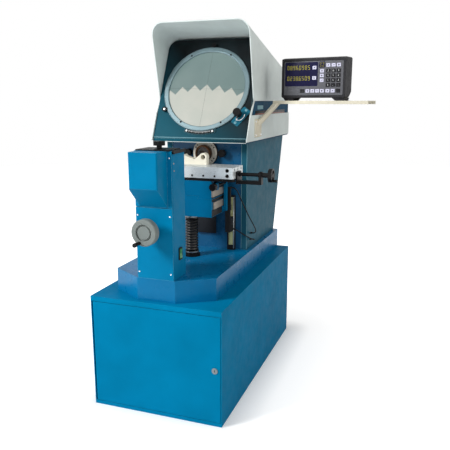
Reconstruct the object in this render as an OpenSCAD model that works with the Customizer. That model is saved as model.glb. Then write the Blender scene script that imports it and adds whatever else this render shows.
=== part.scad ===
// Horizontal optical comparator on a storage cabinet, with a lamp column, a three-axis stage,
// a rotating projection screen under a hood and a digital readout on a side arm.
// Millimetres. Origin on the floor at the middle of the cabinet, front towards -Y, +Z up.

/* [Cabinet] */
// Width of the cabinet
cabinet_w = 550; // [520:5:640]
// Depth of the cabinet
cabinet_d = 1030; // [1000:5:1100]
// Height of the cabinet's top above the floor
cabinet_h = 462; // [360:2:560]
// Thickness of the cabinet's sheet
cabinet_sheet = 3; // [2:0.5:5]
// Height of the lip over the door
lip_h = 20; // [14:1:30]
// Height of the strip under the door
plinth_h = 15; // [10:1:40]
// Thickness of the door
door_t = 18; // [14:1:24]
// Gap round the door
door_gap = 2; // [1.5:0.5:4]
// Radius of the door's hinge pins
hinge_pin_r = 4; // [3:0.5:5]
// Radius of the lock's head
lock_r = 12; // [9:0.5:16]
// Distance from the cabinet's right edge to the lock
lock_inset = 27; // [26:1:60]

/* [Base and body] */
// Width of the base casting
base_w = 428; // [400:2:480]
// Width of the base casting's front face
base_front_w = 158; // [150:2:200]
// Depth of the base casting's cut front corners
base_corner_d = 85; // [60:1:110]
// Height of the base casting
base_h = 89; // [80:1:120]
// Wall of the base casting
base_wall = 12; // [8:1:16]
// Distance from the cabinet's front to the base's front
base_setback = 26; // [10:1:50]
// Width of the body over its side covers
body_w = 384; // [360:2:410]
// Thickness of the body's front plate
front_plate_t = 12; // [8:1:20]
// Thickness of the body's inner side plates
side_plate_t = 6; // [4:1:10]
// Sheet of the body's wrapped cover
cover_sheet = 3; // [2:0.5:4]
// Width of the cover's turned front edge
cover_flange_w = 27; // [15:1:32]
// Distance the body's back stands in front of the cabinet's back at the base
body_back_gap = 7; // [0:1:30]
// Distance the body's back leans out between base and head
body_lean = 165; // [120:1:180]
// Radius of the cable glands on the body's side
gland_r = 6; // [5:0.5:9]

/* [Lamp column] */
// Width of the lamp column
column_w = 150; // [140:2:170]
// Depth of the lamp column
column_d = 115; // [105:1:140]
// Height of the lamp column above the base
column_h = 485; // [470:1:520]
// Wall of the lamp column
column_wall = 6; // [4:0.5:8]
// Step from the base's front back to the column
column_ledge = 4; // [4:1:12]
// Thickness of the column's front cover
front_cover_t = 4; // [3:0.5:4]
// Height of the column's front cover
front_cover_h = 275; // [265:1:285]
// Width of the lamp house
lamp_house_w = 114; // [108:2:124]
// Distance the lamp house stands out of the column
lamp_house_d = 85; // [60:1:100]
// Height of the lamp house's front face
lamp_house_face_h = 130; // [110:1:150]
// Sheet of the lamp house cover
lamp_sheet = 3; // [2:0.5:4]
// Radius of the lid knob
lid_knob_r = 22; // [16:1:26]
// Radius of the collimator barrel
collimator_r = 32; // [26:1:36]

/* [Lift drive] */
// Sideways place of the lifting drive
drive_x = -6; // [-10:1:10]
// Height of the handwheel's axis above the base
handwheel_z = 195; // [150:1:205]
// Radius of the lift handwheel
handwheel_r = 50; // [42:1:56]
// Thickness of the lift handwheel
handwheel_t = 30; // [22:1:36]
// Distance the handwheel's face stands in front of the column
handwheel_reach = 80; // [70:1:90]
// Radius of the handwheel's shaft
wheel_shaft_r = 10; // [8:0.5:12]
// Radius of the chain sprockets
sprocket_r = 24; // [22:1:28]
// Radius of the cross shaft
cross_shaft_r = 8; // [6:0.5:10]
// Radius of the bevel gears at their large end
bevel_r = 22; // [18:1:24]
// Radius of the lifting screw
lift_screw_r = 10; // [8:0.5:11]
// Outer radius of the bellows
bellows_r = 29; // [26:1:32]

/* [Stage] */
// Clear distance from the lamp column to the body
throat = 415; // [400:1:460]
// Distance from the body's front to the middle of the stage
stage_reach = 165; // [150:1:170]
// Distance from the top of the column and the body down to the optical axis
axis_drop = 51; // [44:1:56]
// Height of the optical axis above the table at rest
axis_over_table = 38; // [32:1:44]
// Length of the table
table_l = 406; // [380:2:430]
// Depth of the table
table_d = 126; // [120:2:140]
// Thickness of the table
table_t = 46; // [42:1:52]
// Width of a clamping slot at its mouth
slot_mouth_w = 8; // [6:0.5:10]
// Width of a clamping slot at its foot
slot_foot_w = 14; // [12:0.5:18]
// Distance between the clamping slots
slot_pitch = 42; // [36:1:44]
// Thickness of the table base strips
strip_t = 12; // [10:0.5:14]
// Width of the saddle and the knee
knee_w = 216; // [210:2:226]
// Depth of the knee in front of its guide
knee_d = 178; // [172:1:190]
// Height of the saddle
saddle_h = 75; // [70:1:80]
// Height of the knee
knee_h = 77; // [70:1:84]
// Wall of the knee and the saddle
knee_wall = 12; // [9:1:14]
// Thickness of the way bars
way_bar_t = 7; // [5:0.5:7]
// Radius of the lead screw of the table
feed_screw_r = 6; // [5:0.5:7]
// Radius of the table's handwheel
feed_wheel_r = 28; // [24:1:34]
// Distance from the table's end to its handwheel's face
feed_reach = 150; // [135:1:165]
// Radius of the focus knob
focus_knob_r = 15; // [12:1:16]
// Radius of the focus screw
focus_screw_r = 5; // [4:0.5:6]

/* [Lens] */
// Radius of the lens flange
lens_flange_r = 57; // [52:1:60]
// Thickness of the lens flange
lens_flange_t = 20; // [14:1:24]
// Radius of the lens barrel
lens_r = 35; // [30:1:40]
// Sideways distance from the lens to its clamp knobs
lens_knob_x = 81; // [78:1:95]

/* [Head] */
// Width of the head over its covers
head_w = 444; // [430:2:460]
// Sheet of the head's covers
head_sheet = 4; // [3:0.5:5]
// Height of the screen's middle above the body
screen_h = 226; // [220:1:235]
// Distance from the body's front back to the screen's middle
screen_back = 4; // [0:1:10]
// Backward lean of the screen
screen_tilt = 25; // [22:0.5:27]
// Radius of the screen ring
ring_r = 198; // [190:1:200]
// Radius of the visible screen
screen_r = 176.5; // [165:0.5:180]
// Length of the screen panel below the screen's middle
panel_down = 232; // [225:1:235]
// Length of the screen panel above the screen's middle
panel_up = 242; // [230:1:246]
// Thickness of the screen panel
panel_t = 6; // [4:0.5:8]
// Height of the head's lower cover
lower_cover_h = 110; // [90:1:120]
// Height of the blue band between the head's covers
band_h = 60; // [40:1:70]
// Height of the hood above the head's lower cover at the front
hood_h = 388; // [375:1:400]
// Distance the hood's top stands in front of the body
hood_reach = 84; // [70:1:90]
// Slope of the hood's roof
hood_slope = 13.5; // [10:0.5:15]
// Radius of the hood's upper edges
hood_r = 52; // [40:1:60]
// Radius of the screen drive knob
drive_knob_r = 17; // [14:0.5:20]

/* [Readout] */
// Width of the readout
readout_w = 291; // [280:1:310]
// Depth of the readout
readout_d = 76; // [70:1:90]
// Height of the readout above its feet
readout_h = 168; // [160:1:180]
// Turn of the readout towards the operator
readout_turn = 11.5; // [8:0.1:25]
// Height of the tray's rims
tray_rim = 14; // [12:1:26]
// Sheet of the tray and the arm
arm_sheet = 4; // [3:0.5:6]

/* [Fits] */
// Radial clearance of a running shaft
run_gap = 0.05; // [0.03:0.01:0.08]
// Clearance between sliding or turning pieces
slide_gap = 0.4; // [0.3:0.05:0.6]
// Clearance between pieces that are bolted together on a slope
seat_gap = 0.3; // [0.2:0.05:0.4]

/* [Hidden] */
$fn = 96;
cut = 1;

blue = [0.02, 0.45, 0.68];
deep_blue = [0.03, 0.20, 0.30];
pale_grey = [0.74, 0.80, 0.78];
cream = [0.92, 0.90, 0.84];
ivory = [0.91, 0.88, 0.78];
black = [0.06, 0.06, 0.07];
steel = [0.62, 0.62, 0.60];
silver = [0.78, 0.81, 0.83];

// Chain of places along the depth
cabinet_y = -cabinet_d / 2;
base_y = cabinet_y + base_setback;
column_y = base_y + column_ledge;
column_back = column_y + column_d;
body_y = column_back + throat;
stage_y = body_y - stage_reach;
body_back = -cabinet_y - body_back_gap;

// Chain of places up the height
base_top = cabinet_h + base_h;
column_top = base_top + column_h;
body_top = column_top;
axis_z = body_top - axis_drop;
table_top = axis_z - axis_over_table;
table_z = table_top - table_t;
strip_z = table_z - strip_t;
saddle_top = strip_z - slide_gap;
saddle_z = saddle_top - saddle_h;
knee_top = saddle_z - slide_gap;
knee_z = knee_top - knee_h;

// Cabinet places
door_low = plinth_h + door_gap;
door_high = cabinet_h - lip_h - door_gap;
hinge_x = -cabinet_w / 2 + cabinet_sheet + door_gap + door_t / 2;
hinge_y = cabinet_y + door_t / 2;
hinge_pin_h = 28;
lock_x = cabinet_w / 2 - lock_inset;
lock_z = (door_low + door_high) / 2;
cam_half = 7;
cam_reach = lock_inset - cabinet_sheet - 4;
strike_y = cabinet_y + door_t + 4;
strike_x = lock_x + lock_r - 3 + 6.5;
strike_half = 30;

// Column places
column_round = 6;
lamp_flange_step = 1;
front_cover_y = column_y - front_cover_t;
wheel_axis_z = base_top + handwheel_z;
wheel_face_y = column_y - handwheel_reach;
wheel_back_y = wheel_face_y + handwheel_t;
chain_y = (column_y + column_back) / 2;
chain_t = 3.2;
chain_w = 12;
sprocket_w = 10;
cross_z = cabinet_h + base_h / 2;
lid_back = column_back - 15;
lid_front = column_y - 12;
lid_t = 4;
switch_y = column_y + 58;
switch_z = base_top + 93;
rocker_w = 19;
rocker_h = 35;
rocker_room = 1.6;
bezel_t = 4;
rocker_pin_r = 1.5;
lever_y = column_y + 9;
lever_z = column_top - 4;
lever_pin_r = 3;
lid_knob_y = column_y + 54;
lid_knob_gap = 11;
lid_knob_h = 16;
lid_collar_r = 10;

// Stage places
tongue_half = 44;
tongue_flare = 8;
tongue_h = 12;
feed_tongue_half = 26;
feed_tongue_h = 10;
feed_tongue_x = knee_w / 2 - 13;
feed_z = table_z + 15;
feed_channel_half = 12;
feed_nut_half = 15;
feed_travel = 101.5;
knee_y = body_y - 45;
knee_front = knee_y - knee_d;
rail_half = 44;
rail_t = 20;
rail_z = base_top + 70;
rail_top = axis_z - lens_flange_r - 22;
guide_half = knee_w / 2 - 10;
way_bar_h = 30;
focus_x = knee_w / 2 + 13;
focus_z = saddle_top - 22;
lug_l = 18;
nut_plate_y = knee_front + 128;
slot_depth = 14;
slot_neck = 7;
bracket_x = table_l / 2 + feed_reach - 57;
bracket_t = 12;
bracket_half = 14;
end_plate_half = 26;
end_plate_t = 7;
bracket_z = strip_z - 12;
feed_face_x = table_l / 2 + feed_reach;
grip_pin_r = 3;
scale_x = guide_half + 8;
scale_w = 34;
scale_t = 23;
scale_h = 249;

// Screen places, in the screen's own frame
screen_y = body_y + screen_back;
screen_z = body_top + screen_h;
ring_front = 8;
neck_r = screen_r + 16;
roller_r = 8;
roller_at = ring_r + roller_r + slide_gap;
roller_angles = [88, 209];
stud_r = 3;
drive_wheel_r = 10;
drive_at = ring_r + drive_wheel_r + slide_gap;
drive_angle = -36;
drive_shaft_r = 4;
drive_plate_t = 3;

// Head places
head_back = body_back + body_lean + cover_sheet;
lower_cover_top = body_top + 5 + lower_cover_h;
hood_z = lower_cover_top + band_h;
hood_front_y = body_y - hood_reach;
hood_top_z = lower_cover_top + hood_h;
hood_foot_y = body_y - 9;
casting_half = head_w / 2 - head_sheet;

// Lens and mirror places
lens_face_y = body_y - lens_flange_t;
mirror_y = body_back + body_lean - 56;
mirror_tilt = screen_tilt / 2;
mirror_w = 260;
mirror_h = 170;
mirror_t = 8;
cradle_rim = 7;
cradle_t = 8;
cradle_bar = 24;
lens_reach = 30;
lens_wall = 6;

// Readout places
readout_x = head_w / 2 + 86;
readout_y = body_y + 125;
readout_z = hood_z + 13;
foot_h = 12;
tray_z = readout_z - foot_h;
tray_left = 36;
tray_right = 104;
tray_front = 12;
tray_back = 14;
face_margin = 10;
face_recess = 2;
brow = 5;
arm_plate_w = 96;
arm_plate_h = 78;
arm_drop = 56;
arm_w = 24;
arm_t = 22;
arm_run_y = body_y + 50;

// Glands on the body's right side and the two cables that run to them
gland_x = body_w / 2 + gland_r;
gland_x_end = [gland_x, body_y + 40, base_top + 71];
gland_y_end = [gland_x, body_y + 33, base_top + 44];
reader_w = 28;
reader_up = 108;
reader_down = 95;
reader_x = knee_w / 2 + reader_w;
cable_r = 2.5;
cable_x_start = [reader_x, knee_y - 15, knee_z + reader_up - 2.2];
cable_y_start = [reader_x, knee_y + 5, knee_z - reader_down + 10.8];

// Bends of each cable, by hand, as steps from its start to its gland
cable_x_bends = [[0, 0, 0], [8, 0, 0], [15.5, 0.3, -1.5], [22, 1.5, -6], [27, 3.5, -12.5], [31, 6, -21],
    [36, 9.5, -34], [41.5, 13.5, -49], [47.5, 18.5, -66], [54, 24.5, -84], [60.5, 31.5, -103], [67, 39.5, -122],
    [73.5, 48.5, -141], [79.5, 58, -158.5], [84.5, 67.5, -174], [88, 77, -188], [89.5, 85.5, -199.5],
    [88.5, 92, -208.5], [84.5, 96.5, -215], [78.5, 99, -218.8], [71, 100, -220], [62, 100, -220]];
cable_y_bends = [[0, 0, 0], [8, 0, 0], [15, 0.8, -1.2], [21.5, 2.5, -4.5], [28, 5.5, -9.5], [35, 10, -15.5],
    [42.5, 16, -22], [50.5, 23, -29], [58.5, 30.5, -36], [66.5, 38, -42.5], [74, 45.5, -48.5], [80.5, 53, -53],
    [84.5, 60, -55.8], [84.5, 66.5, -56.8], [80.5, 71, -57], [75, 73, -57], [69, 73, -57], [62, 73, -57]];

// Route from start to end, with the bends stretched where the two have moved apart
function led(bends, start, end) =
    let (last = len(bends) - 1, slack = end - start - bends[last])
    [for (i = [0:last]) start + bends[i] + slack * i / last];

cable_x_route = led(cable_x_bends, cable_x_start, gland_x_end);
cable_y_route = led(cable_y_bends, cable_y_start, gland_y_end);

// Plain shapes
module box_at(low, high) {
    translate(low) cube(high - low);
}

module rod_x(y, z, x0, x1, r) {
    translate([x0, y, z]) rotate([0, 90, 0]) cylinder(h = x1 - x0, r = r);
}

module rod_y(x, z, y0, y1, r) {
    translate([x, y0, z]) rotate([-90, 0, 0]) cylinder(h = y1 - y0, r = r);
}

module rod_z(x, y, z0, z1, r) {
    translate([x, y, z0]) cylinder(h = z1 - z0, r = r);
}

// Prism of a side view, points as [y, z]
module side_prism(points, x0, x1) {
    translate([x0, 0, 0]) rotate([90, 0, 90]) linear_extrude(x1 - x0) polygon(points);
}

// Prism of a front view, points as [x, z]
module front_prism(points, y0, y1) {
    translate([0, y1, 0]) rotate([90, 0, 0]) linear_extrude(y1 - y0) polygon(points);
}

module rounded_rect(w, h, r) {
    square([w - 2 * r, h], center = true);
    square([w, h - 2 * r], center = true);
    for (i = [-1, 1], j = [-1, 1])
        translate([i * (w / 2 - r), j * (h / 2 - r)]) circle(r);
}

// Outline of a dovetail from its foot at height 0, as [across, up], widened all round by gap for a groove
function dovetail(half, flare, h, gap) =
    let (low = half + gap - gap * flare / h, high = half + flare + gap + gap * flare / h)
    [[-low, -gap], [low, -gap], [high, h + gap], [-high, h + gap]];

function moved(points, a, b) = [for (p = points) [p[0] + a, p[1] + b]];

// Frames of the leaning pieces
module on_screen() {
    translate([0, screen_y, screen_z]) rotate([90 - screen_tilt, 0, 0]) children();
}

module on_mirror() {
    translate([0, mirror_y, axis_z]) rotate([90 - mirror_tilt, 0, 0]) children();
}

module on_readout() {
    translate([readout_x, readout_y, readout_z]) rotate([0, 0, -readout_turn]) children();
}

module at_rim(angle, r) {
    rotate([0, 0, angle]) translate([r, 0, 0]) rotate([0, 0, -angle]) children();
}

// Tube of eight sides along a route
function tube_ring(route, i, r) =
    let (a = route[max(i - 1, 0)], b = route[min(i + 1, len(route) - 1)],
        t = (b - a) / norm(b - a),
        n = cross(t, [0, 0, 1]) / norm(cross(t, [0, 0, 1])),
        m = cross(n, t))
    [for (k = [0:7]) route[i] + r * (n * cos(45 * k) + m * sin(45 * k))];

module tube(route, r) {
    last = len(route) - 1;
    points = [for (i = [0:last]) each tube_ring(route, i, r)];
    sides = [for (i = [0:last - 1], k = [0:7])
        let (a = 8 * i + k, b = 8 * i + (k + 1) % 8)
        each [[a, a + 8, b + 8], [a, b + 8, b]]];
    ends = [[for (k = [0:7]) k], [for (k = [7:-1:0]) 8 * last + k]];
    polyhedron(points, concat(sides, ends));
}

// Cabinet
module cabinet_shell() {
    w = cabinet_w / 2;
    s = cabinet_sheet;
    color(blue) {
        difference() {
            box_at([-w, cabinet_y, 0], [w, -cabinet_y, cabinet_h]);
            box_at([-w + s, cabinet_y + s, s], [w - s, -cabinet_y - s, cabinet_h - s]);
            box_at([-w + s, cabinet_y - cut, plinth_h], [w - s, cabinet_y + s + cut, cabinet_h - lip_h]);
        }
        rod_z(hinge_x, hinge_y, s, door_low + hinge_pin_h, hinge_pin_r);
        rod_z(hinge_x, hinge_y, door_high - hinge_pin_h, cabinet_h - s, hinge_pin_r);
        box_at([strike_x, strike_y, lock_z - strike_half], [w - s + cut, strike_y + s, lock_z + strike_half]);
    }
}

module cabinet_door() {
    right = cabinet_w / 2 - cabinet_sheet - door_gap;
    sheet = cabinet_sheet;
    color(blue) difference() {
        union() {
            box_at([hinge_x, cabinet_y, door_low], [right, cabinet_y + door_t, door_high]);
            rod_z(hinge_x, hinge_y, door_low, door_high, door_t / 2);
        }
        box_at([hinge_x + door_t, cabinet_y + sheet, door_low + sheet],
            [right - sheet, cabinet_y + door_t + cut, door_high - sheet]);
        rod_z(hinge_x, hinge_y, door_low - cut, door_low + hinge_pin_h + slide_gap, hinge_pin_r + run_gap);
        rod_z(hinge_x, hinge_y, door_high - hinge_pin_h - slide_gap, door_high + cut, hinge_pin_r + run_gap);
        rod_y(lock_x, lock_z, cabinet_y - cut, cabinet_y + sheet + cut, lock_r - 3 + run_gap);
    }
}

module door_lock() {
    cam_y = strike_y + cabinet_sheet + slide_gap;
    cam_t = 3;
    color(silver) difference() {
        union() {
            rod_y(lock_x, lock_z, cabinet_y - 3, cabinet_y - run_gap, lock_r);
            rod_y(lock_x, lock_z, cabinet_y - run_gap, cam_y + cam_t, lock_r - 3);
            box_at([lock_x - cam_half, cam_y, lock_z], [lock_x + cam_half, cam_y + cam_t, lock_z + cam_reach]);
        }
        box_at([lock_x - 1.2, cabinet_y - 4, lock_z - 5], [lock_x + 1.2, cabinet_y + 4, lock_z + 5]);
    }
}

// Base casting
module base_outline(inset) {
    run_x = (base_w - base_front_w) / 2;
    edge = norm([run_x, base_corner_d]);
    side = base_w / 2 - inset;
    corner_x = base_front_w / 2 - inset * (edge - run_x) / base_corner_d;
    corner_y = base_y + ((run_x - inset) * base_corner_d + inset * edge) / run_x;
    front = base_y + inset;
    back = -cabinet_y - inset;
    polygon([[-corner_x, front], [corner_x, front], [side, corner_y], [side, back], [-side, back],
        [-side, corner_y]]);
}

module base_casting() {
    ceiling = base_top - base_wall;
    bearing_l = 16;
    color(blue) difference() {
        union() {
            difference() {
                translate([0, 0, cabinet_h]) linear_extrude(base_h) base_outline(0);
                translate([0, 0, cabinet_h - cut]) linear_extrude(base_h - base_wall + cut)
                    base_outline(base_wall);
            }
            for (y = [chain_y - 40, stage_y - bevel_r - 46])
                box_at([drive_x - 18, y, cross_z - 18], [drive_x + 18, y + bearing_l, ceiling + cut]);
        }
        rod_y(drive_x, cross_z, chain_y - 40 - cut, stage_y, cross_shaft_r + run_gap);
        rod_z(drive_x, stage_y, ceiling - cut, base_top + cut, lift_screw_r + 8 + run_gap);
        box_at([drive_x - sprocket_r - 8, chain_y - chain_w, ceiling - cut],
            [drive_x + sprocket_r + 8, chain_y + chain_w, base_top + cut]);
    }
}

// Body
function body_side(inset) = let (z1 = body_top, y1 = body_back + body_lean)
    [[body_y, base_top], [body_back - inset, base_top], [y1 - inset, z1], [body_y, z1]];

module body_frame() {
    half = body_w / 2 - cover_sheet;
    inner = half - side_plate_t;
    color(blue) difference() {
        union() {
            box_at([-half, body_y, base_top], [half, body_y + front_plate_t, body_top]);
            for (x = [-half, inner])
                side_prism(body_side(cover_sheet), x, x + side_plate_t);
            box_at([-inner - cut, body_y, base_top], [inner + cut, body_back - 2 * cover_sheet, base_top + 8]);
        }
        rod_y(0, axis_z, body_y - cut, body_y + front_plate_t + cut, lens_r + run_gap);
        for (x = [-lens_knob_x, lens_knob_x])
            rod_y(x, axis_z, body_y - cut, body_y + front_plate_t + cut, 5 + run_gap);
    }
}

module body_cover() {
    half = body_w / 2;
    s = cover_sheet;
    color(blue) difference() {
        union() {
            for (x = [-half, half - s])
                side_prism(body_side(0), x, x + s);
            for (x = [-half, half - cover_flange_w])
                box_at([x, body_y - s, base_top], [x + cover_flange_w, body_y, body_top]);
            difference() {
                side_prism(body_side(0), -half, half);
                side_prism(body_side(s), -half - cut, half + cut);
            }
            for (g = [gland_x_end, gland_y_end])
                rod_x(g[1], g[2], half - cut, gland_x, gland_r);
        }
    }
}

// Head
module head_casting() {
    half = casting_half;
    wall = 8;
    floor_t = 12;
    front_low = screen_y - (screen_z - body_top) * tan(screen_tilt) + (panel_t + seat_gap) / cos(screen_tilt);
    front_high = front_low + (hood_z + 8 - body_top) * tan(screen_tilt);
    outline = [[front_low, body_top], [head_back - head_sheet, body_top],
        [head_back - head_sheet, hood_z + 8], [front_high, hood_z + 8]];
    color(deep_blue) difference() {
        side_prism(outline, -half, half);
        box_at([-half + wall, front_low - cut, body_top + floor_t],
            [half - wall, head_back - head_sheet - wall, hood_z + 8 + cut]);
        box_at([-body_w / 2 + 16, body_y + front_plate_t, body_top - cut],
            [body_w / 2 - 16, head_back - head_sheet - wall, body_top + floor_t + cut]);
    }
}

module head_lower_cover() {
    half = head_w / 2;
    s = head_sheet;
    z0 = body_top + 5;
    front_low = screen_y - (screen_z - z0) * tan(screen_tilt) - ring_front;
    front_high = front_low + (lower_cover_top - z0) * tan(screen_tilt);
    outline = [[front_low, z0], [head_back, z0], [head_back, lower_cover_top], [front_high, lower_cover_top]];
    color(pale_grey) difference() {
        side_prism(outline, -half, half);
        box_at([-half + s, front_low - cut, z0 - cut], [half - s, head_back - s, lower_cover_top + cut]);
    }
}

// Cross-section of the hood, roof at 0, downwards positive
module hood_section(inset) {
    half = head_w / 2 - inset;
    r = hood_r - inset;
    deep = hood_h + 200;
    translate([-half + r, inset]) square([2 * (half - r), deep]);
    translate([-half, inset + r]) square([2 * half, deep - r]);
    for (i = [-1, 1])
        translate([i * (half - r), inset + r]) circle(r);
}

module hood_solid(inset) {
    run_in = 160;
    translate([0, hood_front_y, hood_top_z]) rotate([-90 - hood_slope, 0, 0])
        translate([0, 0, -run_in]) linear_extrude(head_back - hood_front_y + 2 * run_in) hood_section(inset);
}

module hood() {
    high = hood_top_z + 60;
    lean = (hood_foot_y - hood_front_y) / (hood_top_z - hood_z);
    leg_w = 18;
    leg_in = 6;
    leg_step = 0.5;
    leg_y = screen_y - (screen_z - lower_cover_top) * tan(screen_tilt) - ring_front;
    outline = [[hood_foot_y, hood_z], [head_back, hood_z], [head_back, high],
        [hood_front_y - 60 * lean, high]];
    leg = [[leg_y, lower_cover_top], [leg_y + leg_w, lower_cover_top], [hood_foot_y + leg_w, hood_z + leg_in],
        [hood_foot_y + 4, hood_z + leg_in]];
    color(pale_grey) {
        intersection() {
            side_prism(outline, -head_w / 2 - cut, head_w / 2 + cut);
            difference() {
                hood_solid(0);
                intersection() {
                    hood_solid(head_sheet);
                    box_at([-head_w, hood_front_y - 200, 0], [head_w, head_back - head_sheet, high + cut]);
                }
            }
        }
        for (x = [-head_w / 2, head_w / 2 - head_sheet])
            side_prism(leg, x + leg_step, x + head_sheet - leg_step);
    }
}

// Screen
module screen_panel() {
    half = casting_half - 1;
    corner = hood_r - head_sheet - 2;
    color(deep_blue) on_screen() {
        difference() {
            union() {
                translate([0, 0, -panel_t]) linear_extrude(panel_t) {
                    translate([-half, -panel_down]) square([2 * half, panel_down + panel_up - corner]);
                    translate([-half + corner, 0]) square([2 * (half - corner), panel_up]);
                    for (i = [-1, 1])
                        translate([i * (half - corner), panel_up - corner]) circle(corner);
                }
                for (a = roller_angles)
                    at_rim(a, roller_at) cylinder(h = 12, r = stud_r);
                intersection() {
                    difference() {
                        cylinder(h = 6, r = ring_r + 16);
                        translate([0, 0, -cut]) cylinder(h = 8, r = ring_r + 1.5);
                    }
                    translate([-72, -ring_r - 20, 0]) cube([144, 60, 6]);
                }
            }
            translate([0, 0, -panel_t - cut]) cylinder(h = panel_t + 2 * cut, r = neck_r + slide_gap);
            at_rim(drive_angle, drive_at) translate([0, 0, -panel_t - cut])
                cylinder(h = panel_t + 2 * cut, r = drive_shaft_r + run_gap);
        }
    }
}

module screen_ring() {
    seat_r = screen_r + 12;
    color(silver) on_screen() rotate_extrude()
        polygon([[screen_r, slide_gap], [seat_r, slide_gap], [seat_r, -panel_t - 8], [neck_r, -panel_t - 8],
            [neck_r, slide_gap], [ring_r, slide_gap], [ring_r, ring_front - 2], [ring_r - 2, ring_front],
            [screen_r + 3, ring_front], [screen_r, ring_front - 3]]);
}

module screen_glass() {
    glass_t = 5;
    color([0.75, 0.82, 0.80, 0.6]) on_screen()
        translate([0, 0, slide_gap - glass_t]) cylinder(h = glass_t, r = screen_r + 12 - run_gap);
}

module guide_roller(angle) {
    color(black) on_screen() at_rim(angle, roller_at) difference() {
        union() {
            translate([0, 0, slide_gap]) cylinder(h = ring_front, r = roller_r);
            translate([0, 0, ring_front + slide_gap]) cylinder(h = 5, r = roller_r + 3);
        }
        translate([0, 0, -cut]) cylinder(h = 30, r = stud_r + run_gap);
    }
}

module guide_roller_top() { guide_roller(roller_angles[0]); }

module guide_roller_left() { guide_roller(roller_angles[1]); }

module drive_plate() {
    w = 39;
    l = 86;
    color(blue) on_screen() difference() {
        rotate([0, 0, drive_angle]) translate([ring_r + 1.5 + w / 2, 0, 0])
            linear_extrude(drive_plate_t) rounded_rect(w, l, 6);
        at_rim(drive_angle, drive_at) translate([0, 0, -cut])
            cylinder(h = drive_plate_t + 2 * cut, r = drive_shaft_r + run_gap);
    }
}

module screen_drive_knob() {
    wheel_z = drive_plate_t + slide_gap;
    knob_z = 16;
    color(black) on_screen() at_rim(drive_angle, drive_at) {
        translate([0, 0, -panel_t - 4]) cylinder(h = knob_z + panel_t + 4, r = drive_shaft_r);
        translate([0, 0, wheel_z]) cylinder(h = ring_front - wheel_z + 1, r = drive_wheel_r);
        difference() {
            translate([0, 0, knob_z]) cylinder(h = 24, r = drive_knob_r);
            for (a = [0:30:330])
                rotate([0, 0, a]) translate([drive_knob_r + 1.5, 0, knob_z - cut]) cylinder(h = 18, r = 3);
        }
    }
}

module screen_clamp_lever() {
    hub_z = ring_front + 1 + slide_gap;
    arm_r = 28;
    wire_r = 1.8;
    color(silver) on_screen() at_rim(drive_angle, drive_at) translate([0, 0, hub_z]) {
        difference() {
            union() {
                cylinder(h = 5, r = 8);
                rotate([0, 0, -100]) translate([0, -3, 0.5]) cube([arm_r, 6, 4]);
            }
            translate([0, 0, -cut]) cylinder(h = 8, r = drive_shaft_r + run_gap);
        }
        rotate([0, 0, -100]) translate([0, 0, 2.5]) rotate_extrude(angle = 98)
            translate([arm_r, 0]) circle(wire_r, $fn = 32);
    }
}

// Optics
module rear_mirror() {
    color([0.85, 0.9, 0.92]) on_mirror()
        translate([-mirror_w / 2, -mirror_h / 2, -mirror_t]) cube([mirror_w, mirror_h, mirror_t]);
}

module mirror_cradle() {
    half = body_w / 2 - cover_sheet - side_plate_t;
    w = mirror_w + 2 * cradle_rim;
    h = mirror_h + 2 * cradle_rim;
    back = -mirror_t - cradle_t;
    color(steel) on_mirror() {
        translate([-w / 2, -h / 2, back]) cube([w, h, cradle_t]);
        translate([-half, -h / 3, back - cradle_t]) cube([2 * half, cradle_bar, cradle_t + cut]);
        for (y = [-h / 2, h / 2 - cradle_rim])
            translate([-w / 2, y, back]) cube([w, cradle_rim, cradle_t + 2]);
    }
}

module lens_flange() {
    color(cream) difference() {
        rod_y(0, axis_z, lens_face_y, body_y, lens_flange_r);
        rod_y(0, axis_z, lens_face_y - cut, body_y + cut, lens_r + run_gap);
        for (a = [45:90:315])
            rod_y(48 * cos(a), axis_z + 48 * sin(a), lens_face_y - cut, lens_face_y + 6, 4);
        box_at([-lens_flange_r, lens_face_y - cut, body_top - seat_gap],
            [lens_flange_r, body_y + cut, body_top + lens_flange_r]);
    }
}

module lens_barrel() {
    front = lens_face_y - lens_reach;
    back = body_y + front_plate_t + 60;
    color([0.30, 0.20, 0.12]) difference() {
        union() {
            rod_y(0, axis_z, front, back, lens_r);
            rod_y(0, axis_z, front + 6, front + 18, lens_r + 2);
        }
        rod_y(0, axis_z, front - cut, back + cut, lens_r - lens_wall);
    }
}

module optics_glass() {
    lens_t = 8;
    lamp_lens_t = 7;
    color([0.8, 0.9, 0.95, 0.5]) {
        for (y = [lens_face_y - lens_reach + 7, body_y + front_plate_t + 44])
            rod_y(0, axis_z, y, y + lens_t, lens_r - lens_wall - run_gap);
        for (y = [column_back - 24, column_back - 2])
            rod_y(0, axis_z, y, y + lamp_lens_t, collimator_r - 5 - run_gap);
    }
}

module lens_knob(x) {
    color(black) {
        rod_y(x, axis_z, body_y - 10, body_y + front_plate_t, 5);
        difference() {
            rod_y(x, axis_z, body_y - 32, body_y - 8, 17);
            for (a = [0:45:315])
                rod_y(x + 19 * cos(a), axis_z + 19 * sin(a), body_y - 33, body_y - 7, 4);
        }
    }
}

module lens_knob_left() { lens_knob(-lens_knob_x); }

module lens_knob_right() { lens_knob(lens_knob_x); }

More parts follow.
